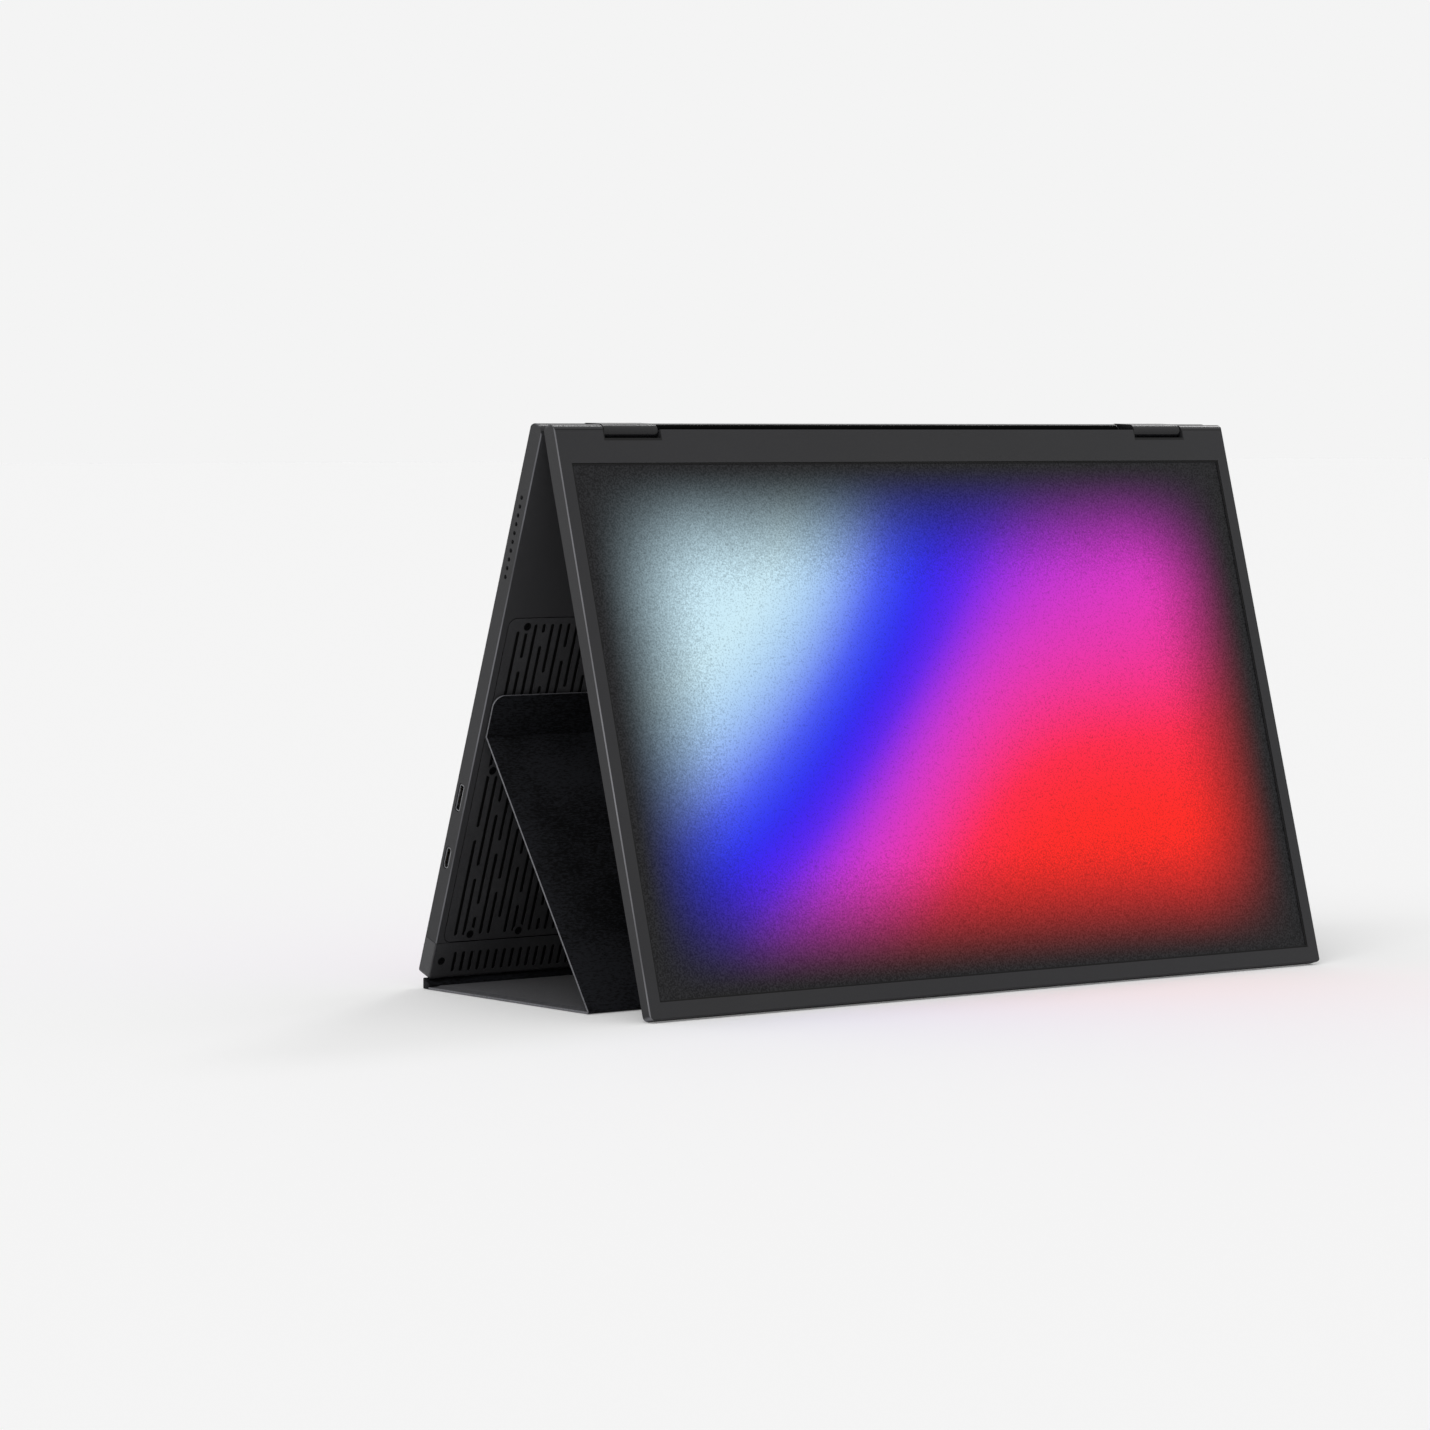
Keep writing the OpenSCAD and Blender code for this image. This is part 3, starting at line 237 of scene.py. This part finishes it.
def laminate(name, look):  # flat parts with broad soft mottling: boards, film, fibre board
    material, tree, place = startMaterial(name)
    spots = addNode(tree, "ShaderNodeTexVoronoi", {"Vector": place, "Scale": 1/(look["cell"]*mm)}, feature="F1")
    fibre = addNode(tree, "ShaderNodeTexNoise", {"Vector": place, "Scale": 1/(look["fibre"]*mm), "Detail": 4.0})
    tone = addNode(tree, "ShaderNodeMix", {"Factor": 0.5, "A": fibre, "B": spots}, data_type="FLOAT")
    colour = addNode(tree, "ShaderNodeValToRGB", {"Fac": tone}, [(0.3, look["dark"]), (0.6, look["light"])])
    bump = addNode(tree, "ShaderNodeBump", {"Height": tone, "Strength": 0.2, "Distance": 0.03*mm})
    finishMaterial(tree, addNode(tree, "ShaderNodeBsdfPrincipled", {
        "Base Color": colour, "Roughness": look["rough"], "Normal": bump}))
    return material


boardGreen = laminate("solder_masked_board", {  # dark green, half gloss
    "dark": "#143a26", "light": "#1f5236", "rough": 0.35, "cell": 2.2, "fibre": 0.8})
ribbonFilm = laminate("polyimide_ribbon", {  # amber film
    "dark": "#8a5a1e", "light": "#a8762f", "rough": 0.3, "cell": 3.0, "fibre": 1.0})
fibreBoard = laminate("pressed_fibre_board", {  # matt and speckled, like grey card
    "dark": "#7d7358", "light": "#978c6f", "rough": 0.85, "cell": 1.5, "fibre": 0.5})
print("metals and boards made")


# Cover cloth: polyester twill with a polyurethane skin. The real thread is 0.25 mm wide, and it is drawn
# at 0.55 mm so that it shows
def coverCloth(name, look):
    material, tree, place = startMaterial(name)
    streak = addNode(tree, "ShaderNodeMapping", {
        "Vector": place, "Scale": (1/(look["run"]*mm), 1/(look["thread"]*mm), 1/(look["thread"]*mm))})
    threads = addNode(tree, "ShaderNodeTexNoise", {"Vector": streak, "Scale": 1.0, "Detail": 3.0, "Roughness": 0.6})
    rubbed = addNode(tree, "ShaderNodeTexNoise", {"Vector": place, "Scale": 1/(look["patch"]*mm), "Detail": 3.0})
    fleck = addNode(tree, "ShaderNodeTexNoise", {"Vector": place, "Scale": 1/(0.5*mm), "Detail": 2.0})
    weave = addNode(tree, "ShaderNodeMath", {0: threads, 1: 0.55}, operation="MULTIPLY")
    weave = addNode(tree, "ShaderNodeMath", {0: rubbed, 1: 0.25, 2: weave}, operation="MULTIPLY_ADD")
    weave = addNode(tree, "ShaderNodeMath", {0: fleck, 1: 0.2, 2: weave}, operation="MULTIPLY_ADD")
    colour = addNode(tree, "ShaderNodeValToRGB", {"Fac": weave}, [
        (0.5 - look["spread"], look["dark"]), (0.5 + look["spread"], look["light"])])
    rough = addNode(tree, "ShaderNodeMapRange", {
        "Value": rubbed, "From Min": 0.3, "From Max": 0.7,
        "To Min": look["rough"] - 0.08, "To Max": look["rough"] + 0.08})
    bump = addNode(tree, "ShaderNodeBump", {"Height": weave, "Strength": look["bump"], "Distance": 0.12*mm})
    finishMaterial(tree, addNode(tree, "ShaderNodeBsdfPrincipled", {
        "Base Color": colour, "Roughness": rough, "Normal": bump, "Specular IOR Level": look["gloss"],
        "Sheen Weight": look["sheen"], "Sheen Roughness": 0.5}))
    return material


outerCloth = coverCloth("coated_twill_outer", {
    "dark": "#020203", "light": "#1c1d21", "rough": 0.6, "run": 2.0, "thread": 0.55, "patch": 35,
    "bump": 1.0, "gloss": 0.13, "sheen": 0.02, "spread": 0.045})
liningCloth = coverCloth("brushed_microfibre_lining", {  # inner faces: greyer, a short nap
    "dark": "#2a2a2d", "light": "#3a3a3e", "rough": 0.7, "run": 1.4, "thread": 1.0, "patch": 50,
    "bump": 0.3, "gloss": 0.2, "sheen": 0.12, "spread": 0.07})
sealedEdge = coverCloth("heat_sealed_edge", {  # the cut rim of the cover, pressed and greyer
    "dark": "#5a5a5e", "light": "#77777c", "rough": 0.5, "run": 2.0, "thread": 0.6, "patch": 20,
    "bump": 0.2, "gloss": 0.4, "sheen": 0.0, "spread": 0.07})
print("cloth made")


# Screens: matt anti-glare glass over a lit picture, a soft slanting ribbon of colour that fades to black
def litScreen(name, panel, which, look):
    material, tree, place = startMaterial(name)
    middle = panel @ Vector((0, 0, screens[which]["middle"]*mm))
    back = panel.to_3x3().inverted()
    scaled = 2/(screens["width"]*mm)  # the picture's left and right edges are at -1 and 1
    flat = addNode(tree, "ShaderNodeMapping", {
        "Vector": place, "Location": -(back @ middle)*scaled, "Rotation": back.to_euler(),
        "Scale": (scaled, scaled, scaled)})
    stir = addNode(tree, "ShaderNodeTexNoise", {"Vector": flat, "Scale": 0.9, "Detail": 0.0})
    speck = addNode(tree, "ShaderNodeTexNoise", {"Vector": place, "Scale": 1/(look["speck"]*mm), "Detail": 1.0})
    axes = addNode(tree, "ShaderNodeSeparateXYZ", {"Vector": flat}).outputs
    across = addNode(tree, "ShaderNodeMath", {
        0: axes["X"], 1: look["slant"][0], 2: look["start"]}, operation="MULTIPLY_ADD")
    slant = addNode(tree, "ShaderNodeMath", {
        0: axes["Z"], 1: look["slant"][1], 2: across}, operation="MULTIPLY_ADD")
    angle = addNode(tree, "ShaderNodeMath", {
        0: axes["X"], 1: look["wave"], 2: look["phase"]}, operation="MULTIPLY_ADD")
    wave = addNode(tree, "ShaderNodeMath", {0: angle}, operation="SINE")
    swung = addNode(tree, "ShaderNodeMath", {0: wave, 1: look["swing"], 2: slant}, operation="MULTIPLY_ADD")
    band = addNode(tree, "ShaderNodeMath", {0: stir, 1: look["stir"], 2: swung}, operation="MULTIPLY_ADD")
    colour = addNode(tree, "ShaderNodeValToRGB", {"Fac": band}, look["stops"])
    colour.color_ramp.interpolation = "B_SPLINE"
    lit = addNode(tree, "ShaderNodeMath", {0: speck, 1: 1.3, 2: 0.35}, operation="MULTIPLY_ADD")
    for axis, edge in (("X", 0.99), ("Z", screens["height"]/screens["width"])):  # the picture fades before its edges
        away = addNode(tree, "ShaderNodeMath", {0: axes[axis]}, operation="ABSOLUTE")
        inside = addNode(tree, "ShaderNodeMapRange", {
            "Value": away, "From Min": edge, "From Max": edge - look["fade"]}, interpolation_type="SMOOTHSTEP")
        lit = addNode(tree, "ShaderNodeMath", {0: lit, 1: inside}, operation="MULTIPLY")
    dark = addNode(tree, "ShaderNodeValToRGB", {"Fac": speck}, [(0.38, look["black"]), (0.62, look["haze"])])
    shown = addNode(tree, "ShaderNodeMix", {0: lit, 6: dark, 7: colour}, data_type="RGBA")
    finishMaterial(tree, addNode(tree, "ShaderNodeBsdfPrincipled", {
        "Base Color": toLinear("#040405"), "Roughness": 0.4, "Specular IOR Level": 0.15,
        "Emission Color": shown.outputs[2], "Emission Strength": 1.0}))
    return material


ribbonOfColour = {"slant": (0.36, -0.5), "start": 0.25, "wave": 2.8, "phase": 0.6, "swing": 0.13, "stir": 0.5,
                  "speck": 0.7, "fade": 0.36, "black": "#050506", "haze": "#222224",
                  "stops": [(0.0, "#d2f0f8"), (0.13, "#a4ccf4"), (0.26, "#0c10f4"), (0.44, "#1410f2"),
                            (0.56, "#d030d0"), (0.68, "#f02c9c"), (0.8, "#ff1c14"), (1.0, "#ff2010")]}
flipScreen = litScreen("anti_glare_glass_flip", flipFrame, "flip", ribbonOfColour)
mainScreen = litScreen("anti_glare_glass_main", mainFrame, "main", ribbonOfColour | {"phase": 2.4, "swing": 0.16})
print("screens made")


# Finishes of the frame's own pieces
finishes = {
    mainHousing: ["main_back_shell", "power_button", "menu_button"],
    flipHousing: ["flip_back_shell"],
    mainBezelPlastic: ["main_bezel"],
    flipBezelPlastic: ["flip_bezel"],
    ventPlastic: ["vent_plate", "bottom_cap"],
    knucklePlastic: ["knuckle_shells"],
    speakerPlastic: ["speakers"],
    bumperRubber: ["screen_bumpers"],
    backlightPlastic: ["main_backlight", "flip_backlight"],
    flipScreen: ["flip_display"],
    mainScreen: ["main_display"],
    hingeSteel: ["main_hinge_leaves", "main_hinge_shafts", "main_leaf_screws", "friction_blocks", "board_screws",
                 "flip_hinge_leaves", "flip_hinge_shafts", "flip_leaf_screws"],
    socketSteel: ["usb_c_port", "mini_video_port"],
    blackScrew: ["vent_plate_screws", "bottom_cap_screws"],
    magnetNickel: ["back_magnets", "strip_magnets"],
    boardGreen: ["main_circuit_board", "main_driver_board", "flip_driver_board", "switch_board"],
    ribbonFilm: ["main_ribbon_cable", "flip_ribbon_cable"],
    fibreBoard: ["flap_board", "riser_board"],
}
for material, names in finishes.items():
    for name in names:
        for materialSlot in nodes[name].material_slots:
            materialSlot.material = material
print("frame finished with", len(finishes), "materials")


# Modelling helpers: edit mode on one fresh primitive at a time
near = 0.01*mm  # a point this close to a place counts as on it


def pick(test, kind="verts"):  # selects only the vertices, edges or faces that pass the test
    edited = bmesh.from_edit_mesh(bpy.context.object.data)
    for group in (edited.verts, edited.edges, edited.faces):
        for item in group:
            item.select_set(False)
    edited.select_mode = {"verts": {"VERT"}, "edges": {"EDGE"}, "faces": {"FACE"}}[kind]
    for item in getattr(edited, kind):
        if test(item):
            item.select_set(True)
    edited.select_flush_mode()
    bmesh.update_edit_mesh(bpy.context.object.data)


def editMode(kind):
    bpy.ops.object.mode_set(mode="EDIT")
    bpy.ops.mesh.select_mode(type=kind)


def addBox(name, size, middle):
    bpy.ops.object.select_all(action="DESELECT")
    bpy.ops.mesh.primitive_cube_add(size=1, location=[v*mm for v in middle])
    piece = bpy.context.object
    piece.name = piece.data.name = name
    piece.scale = [v*mm for v in size]
    bpy.ops.object.transform_apply(location=True, rotation=True, scale=True)
    return piece


def softenEdges(piece, width, segments, angle=30):
    bevel = piece.modifiers.new("soft edges", "BEVEL")
    bevel.width, bevel.segments, bevel.limit_method = width*mm, segments, "ANGLE"
    bevel.angle_limit = math.radians(angle)
    bpy.ops.object.modifier_apply(modifier=bevel.name)


def settle(piece, place, body, smooth=35):  # puts the mesh where it belongs, with the object left at the origin
    piece.data.transform(place)
    bpy.ops.object.shade_smooth_by_angle(angle=math.radians(smooth))
    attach(piece, body)
    return piece


# Cover: stiff boards between outer cloth and lining, pressed thin and sealed along the rim
cover = {"thickness": 1.8, "rim": 0.9, "border": 2.6, "flatBorder": 1.04, "edge": 0.16, "width": 357.6,
         "flapLength": 110.6, "foldGap": 1.5, "flapEnd": 1.4,
         "riserLength": 127.6, "riserStart": 2.2, "riserEnd": 0.6,
         "stripWidth": 351.4, "stripLength": 18.2, "stripStart": 1.2, "stripCorner": 5.0}


# A panel from low to high, that narrows upwards; inner is the way along Y that its lining faces
def coverPanel(name, body, place, wide, narrow, low, high, inner, corner, node):
    panel = addBox(name, (wide, cover["rim"], high - low), (0, -inner*cover["rim"]/2, (low + high)/2))
    editMode("VERT")
    pick(lambda v: v.co.z > (low + high)/2*mm)
    bpy.ops.transform.resize(value=(narrow/wide, 1, 1), center_override=(0, 0, high*mm))
    if corner:
        bpy.ops.mesh.select_mode(type="EDGE")
        pick(lambda e: all(v.co.z > high*mm - near for v in e.verts)
             and abs(e.verts[0].co.x - e.verts[1].co.x) < near, "edges")
        bpy.ops.mesh.bevel(offset=corner*mm, segments=10)
    bpy.ops.mesh.select_mode(type="FACE")
    pick(lambda f: f.normal.y*inner > 0.9, "faces")
    bpy.ops.mesh.inset(thickness=cover["flatBorder"]*mm, depth=0)  # the sealed rim, then a slope up to the board
    slope = cover["border"] - cover["flatBorder"]
    bpy.ops.mesh.inset(thickness=slope*mm, depth=(cover["thickness"] - cover["rim"])*mm)
    bpy.ops.object.mode_set(mode="OBJECT")
    softenEdges(panel, cover["edge"], 2, 20)
    for material in (outerCloth, liningCloth, sealedEdge):
        panel.data.materials.append(material)
    for face in panel.data.polygons:
        if abs(face.normal.y) < 0.75:
            tapered = face.center.y*inner > 0.02*mm
            face.material_index = 1 if tapered else 2
        else:
            face.material_index = 1 if face.normal.y*inner > 0 else 0
    settle(panel, place, body)
    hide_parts(node)
    return panel


flapPivot, riserPivot, stripPivot = pivots["flap_fold"], pivots["riser_fold"], pivots["strip_fold"]
flapPlace = Matrix.Translation(riserPivot) @ Matrix.Rotation(math.radians(-90), 4, "X")
riserPlace = Matrix.Translation(riserPivot) @ Matrix.Rotation(math.radians(-stance["riserTurn"]), 4, "X")
stripPlace = Matrix.Translation(stripPivot) @ Matrix.Rotation(math.radians(stance["mainLean"]), 4, "X")

floorFlap = coverPanel("floorFlap", "floor_flap", flapPlace, cover["width"], cover["width"], cover["foldGap"],
                       cover["flapLength"] - cover["flapEnd"], -1, 0, "flap_sleeve")
riserPanel = coverPanel("riserPanel", "riser", riserPlace, cover["width"], cover["stripWidth"], cover["riserStart"],
                        cover["riserLength"] - cover["riserEnd"], 1, 0, "riser_sleeve")
magnetStrip = coverPanel("magnetStrip", "magnet_strip", stripPlace, cover["stripWidth"], cover["stripWidth"],
                         cover["stripStart"], cover["stripLength"], 1, cover["stripCorner"], "strip_sleeve")
print("cover panels made")


def bentStrip(name, path, width, thickness):  # a wall that follows a path of depths and heights, middle to middle
    first, second = Vector(path[0]), Vector(path[1])
    step = second - first
    bpy.ops.object.select_all(action="DESELECT")
    bpy.ops.mesh.primitive_plane_add(size=1, location=(0, *((first + second)/2*mm)))
    strip = bpy.context.object
    strip.name = strip.data.name = name
    strip.scale = (width*mm, step.length*mm, 1)
    strip.rotation_euler = (math.atan2(step.y, step.x), 0, 0)
    bpy.ops.object.transform_apply(location=True, rotation=True, scale=True)
    editMode("EDGE")
    tip = Vector((0, *(second*mm)))
    pick(lambda e: all((v.co.yz - tip.yz).length < near for v in e.verts), "edges")
    for one, two in zip(path[1:], path[2:]):
        move = (Vector(two) - Vector(one))*mm
        bpy.ops.mesh.extrude_region_move(TRANSFORM_OT_translate={"value": (0, *move)})
    bpy.ops.mesh.select_all(action="SELECT")
    bpy.ops.mesh.normals_make_consistent(inside=False)
    bpy.ops.object.mode_set(mode="OBJECT")
    wall = strip.modifiers.new("wall", "SOLIDIFY")
    wall.thickness, wall.offset = thickness*mm, 0
    bpy.ops.object.modifier_apply(modifier=wall.name)
    return strip


# Folds: one layer of cloth that runs from panel to panel
def coverFold(name, path, width):
    fold = bentStrip(name, path, width, cover["rim"])
    for material in (outerCloth, sealedEdge):
        fold.data.materials.append(material)
    for face in fold.data.polygons:
        face.material_index = 1 if abs(face.normal.x) > 0.9 else 0
    bpy.ops.object.shade_smooth_by_angle(angle=math.radians(40))
    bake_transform(fold)
    return fold


def onArc(centre, radius, startAngle, endAngle, steps):
    angles = [math.radians(startAngle + (endAngle - startAngle)*i/steps) for i in range(steps + 1)]
    return [(centre.x + radius*math.cos(a), centre.y + radius*math.sin(a)) for a in angles]


folds = {  # how far each fold runs on along a panel, and where its turn begins and ends
    "front": {"onFlap": 1.5, "onRiser": 2.3, "start": 1.0, "end": 0.6},
    "top": {"onRiser": 0.7, "onStrip": 1.25, "start": 0.5, "end": 0.9},
    "rear": {"onSpine": 0.5, "middle": 0.7, "onFlap": 1.45, "start": 0.3, "end": 1.2}}
frontReach, topReach, rearReach = folds["front"], folds["top"], folds["rear"]
half = cover["rim"]/2
turn = math.radians(stance["riserTurn"])
lean = math.radians(stance["mainLean"])
front = riserPivot.yz/mm
riserWay, riserOut = Vector((math.sin(turn), math.cos(turn))), Vector((-math.cos(turn), math.sin(turn)))
frontPath = [(front.x + frontReach["onFlap"], half)] + onArc(front, half, -90, -180 - stance["riserTurn"], 10)
frontPath.append(tuple(front + riserOut*half + riserWay*frontReach["onRiser"]))
print("fold paths made")


frontFold = coverFold("frontFold", frontPath, cover["width"])

top = stripPivot.yz/mm
stripWay, stripOut = Vector((-math.sin(lean), math.cos(lean))), Vector((-math.cos(lean), -math.sin(lean)))
crease = top + (riserOut + stripOut).normalized()*half/math.cos((turn + lean)/2)
topPath = [tuple(top + riserOut*half - riserWay*topReach["onRiser"]), tuple(crease),
           tuple(top + stripOut*half + stripWay*topReach["onStrip"])]
topFold = coverFold("topFold", topPath, cover["stripWidth"])

rear = flapPivot.yz/mm
rearPath = [(rear.x + rearReach["onSpine"], half), (rear.x, half), (rear.x - rearReach["middle"], half),
            (rear.x - rearReach["onFlap"], half)]
rearFold = coverFold("rearFold", rearPath, cover["width"])

# The cover's three parts are cut from one cloth, folded at the seams between them
print("folds made")


# Spine: the strip of the cover that is glued under the main panel's bottom edge
spine = {"front": 71.4, "back": 75.91, "flat": 74.594, "thickness": 1.8, "backHeight": 4.56, "flatHeight": 4.08,
         "edge": 0.35}
coverSpine = addBox("coverSpine", (cover["width"], spine["back"] - spine["front"], spine["thickness"]),
                    (0, (spine["front"] + spine["back"])/2, spine["thickness"]/2))
editMode("VERT")
bpy.ops.mesh.select_all(action="SELECT")
bpy.ops.mesh.bisect(plane_co=(0, spine["flat"]*mm, 0), plane_no=(0, 1, 0))
for depth, height in (("back", "backHeight"), ("flat", "flatHeight")):
    pick(lambda v: abs(v.co.y - spine[depth]*mm) < near and v.co.z > spine["thickness"]/2*mm)
    bpy.ops.transform.translate(value=(0, 0, (spine[height] - spine["thickness"])*mm))
bpy.ops.object.mode_set(mode="OBJECT")
softenEdges(coverSpine, spine["edge"], 3, 20)
coverSpine.data.materials.append(outerCloth)
settle(coverSpine, Matrix.Identity(4), "main_panel")
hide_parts("cover_spine")
print("spine made")


# Seals: a thin black line of foam between each bezel and its glass
seal = {"wide": 0.7, "tall": 0.45, "edge": 0.12}


def screenSeal(name, body, panel, which):
    facing = screens[which]["side"]
    bpy.ops.object.select_all(action="DESELECT")
    bpy.ops.mesh.primitive_plane_add(size=1, location=(0, 0, 0))
    ring = bpy.context.object
    ring.name = ring.data.name = name
    ring.scale = (screens["width"]*mm, screens["height"]*mm, 1)
    bpy.ops.object.transform_apply(location=True, rotation=True, scale=True)
    editMode("FACE")
    pick(lambda f: True, "faces")
    bpy.ops.mesh.inset(thickness=seal["wide"]*mm, depth=0)
    bpy.ops.mesh.delete(type="FACE")
    bpy.ops.mesh.select_all(action="SELECT")
    bpy.ops.mesh.extrude_region_move(TRANSFORM_OT_translate={"value": (0, 0, seal["tall"]*mm)})
    bpy.ops.mesh.select_all(action="SELECT")
    bpy.ops.mesh.normals_make_consistent(inside=False)
    bpy.ops.object.mode_set(mode="OBJECT")
    softenEdges(ring, seal["edge"], 2)
    ring.data.materials.append(bumperRubber)
    stand = Matrix.Rotation(math.radians(-90*facing), 4, "X")
    lift = Matrix.Translation((0, facing*screens[which]["face"]*mm, screens[which]["middle"]*mm))
    settle(ring, panel @ lift @ stand, body)


screenSeal("mainScreenSeal", "main_panel", mainFrame, "main")
screenSeal("flipScreenSeal", "flip_panel", flipFrame, "flip")
print("seals made")


# Hinge shade sheet: a matt black sheet on the main panel's rounded edge, put there as painted shade for the dark gap
# between the knuckles
shadeSheet = {"width": 252.0, "centre": (0.0, -1.3), "radius": 4.2, "start": 104, "end": 172, "steps": 14,
         "thickness": 0.14}
shadeSheetBlack = mouldedPlastic("open_cell_foam_liner", {  # near black and almost without gloss, to stand for shade
    "dark": "#020202", "light": "#050505", "rough": 0.9, "grain": 0.5, "patch": 12, "bump": 0.4,
    "ior": 1.4, "gloss": 0.04})
shadeSheetPath = onArc(Vector(shadeSheet["centre"]), shadeSheet["radius"], shadeSheet["start"], shadeSheet["end"], shadeSheet["steps"])
hingeLiner = bentStrip("hingeLiner", shadeSheetPath, shadeSheet["width"], shadeSheet["thickness"])
hingeLiner.data.materials.append(shadeSheetBlack)
settle(hingeLiner, mainFrame, "main_panel")
print("liner made")


# Contacts: gold strips along the tongue of each socket, in rows on its two sides
sockets = {
    "usbContacts": {"up": -184.4, "count": 12, "pitch": 0.5, "wide": 0.26, "half": 0.35},
    "videoContacts": {"up": -157.8, "count": 10, "pitch": 0.78, "wide": 0.4, "half": 0.3}}
contact = {"wall": -178.2, "start": 1.45, "length": 4.6, "thick": 0.06, "sunk": 0.01, "depth": 0.22, "edge": 0.02}

for name, look in sockets.items():
    strips = []
    for side in (-1, 1):
        out = side*(look["half"] + contact["thick"]/2 - contact["sunk"])
        for i in range(look["count"]):
            up = look["up"] + (i - (look["count"] - 1)/2)*look["pitch"]
            strip = addBox(f"{name}.{side}.{i}", (contact["length"], contact["thick"], look["wide"]), (
                contact["wall"] + contact["start"] + contact["length"]/2, contact["depth"] + out, up))
            softenEdges(strip, contact["edge"], 1)
            strips.append(strip)
    bpy.ops.object.select_all(action="DESELECT")
    for strip in strips:
        strip.select_set(True)
    bpy.context.view_layer.objects.active = strips[0]
    bpy.ops.object.join()
    contacts = bpy.context.object
    contacts.name = contacts.data.name = name
    contacts.data.materials.append(contactGold)
    settle(contacts, mainFrame, "main_panel")
print("contacts made")


# Studio: a pale floor and backdrop, one broad soft lamp from the left and a weak one that edges the hinge
studio = {"floor": "#f2f2f2", "floorSize": 80000, "floorDrop": 0.2, "lift": 0.14,
          "backdrop": "#f4f4f4", "ambient": 0.62,
          "lamps": {"keyLamp": {"turn": (42, 0, -62), "power": 0.75, "soft": 35},
                    "rimLamp": {"turn": (-43, 0, -67.5), "power": 0.3, "soft": 12}}}

bpy.ops.object.select_all(action="DESELECT")
bpy.ops.mesh.primitive_plane_add(size=studio["floorSize"]*mm, location=(0, 0, -studio["floorDrop"]*mm))
floor = bpy.context.object
floor.name = "floor"
floorPaint, tree, place = startMaterial("matt_floor")
paint = addNode(tree, "ShaderNodeBsdfDiffuse", {"Color": toLinear(studio["floor"])})
seen = addNode(tree, "ShaderNodeLightPath").outputs["Is Camera Ray"]  # lifts the floor to the backdrop's white
lift = addNode(tree, "ShaderNodeMath", {0: seen, 1: studio["lift"]}, operation="MULTIPLY")
glow = addNode(tree, "ShaderNodeEmission", {"Color": (1, 1, 1, 1), "Strength": lift})
finishMaterial(tree, addNode(tree, "ShaderNodeAddShader", {0: paint, 1: glow}))
floor.data.materials.append(floorPaint)

for name, lamp in studio["lamps"].items():
    light = bpy.data.lights.new(name, "SUN")
    light.energy, light.angle = lamp["power"], math.radians(lamp["soft"])
    lightObject = bpy.data.objects.new(name, light)
    lightObject.rotation_euler = [math.radians(v) for v in lamp["turn"]]
    bpy.context.scene.collection.objects.link(lightObject)

world = bpy.data.worlds.new("studio")
bpy.context.scene.world = world
world.use_nodes = True
tree = world.node_tree
tree.nodes.clear()
rays = addNode(tree, "ShaderNodeLightPath")
seen = addNode(tree, "ShaderNodeMath", {0: rays.outputs["Is Camera Ray"], 1: rays.outputs["Is Glossy Ray"]},
               operation="MAXIMUM")
seen = addNode(tree, "ShaderNodeMath", {0: seen, 1: rays.outputs["Is Transmission Ray"]},
               operation="MAXIMUM")
ambient = addNode(tree, "ShaderNodeBackground", {"Color": (1, 1, 1, 1), "Strength": studio["ambient"]})
backdrop = addNode(tree, "ShaderNodeBackground", {"Color": toLinear(studio["backdrop"]), "Strength": 1.0})
mixed = addNode(tree, "ShaderNodeMixShader", {0: seen, 1: ambient, 2: backdrop})
addNode(tree, "ShaderNodeOutputWorld", {"Surface": mixed})
bpy.context.scene.view_settings.view_transform = "Standard"
print("studio lit")
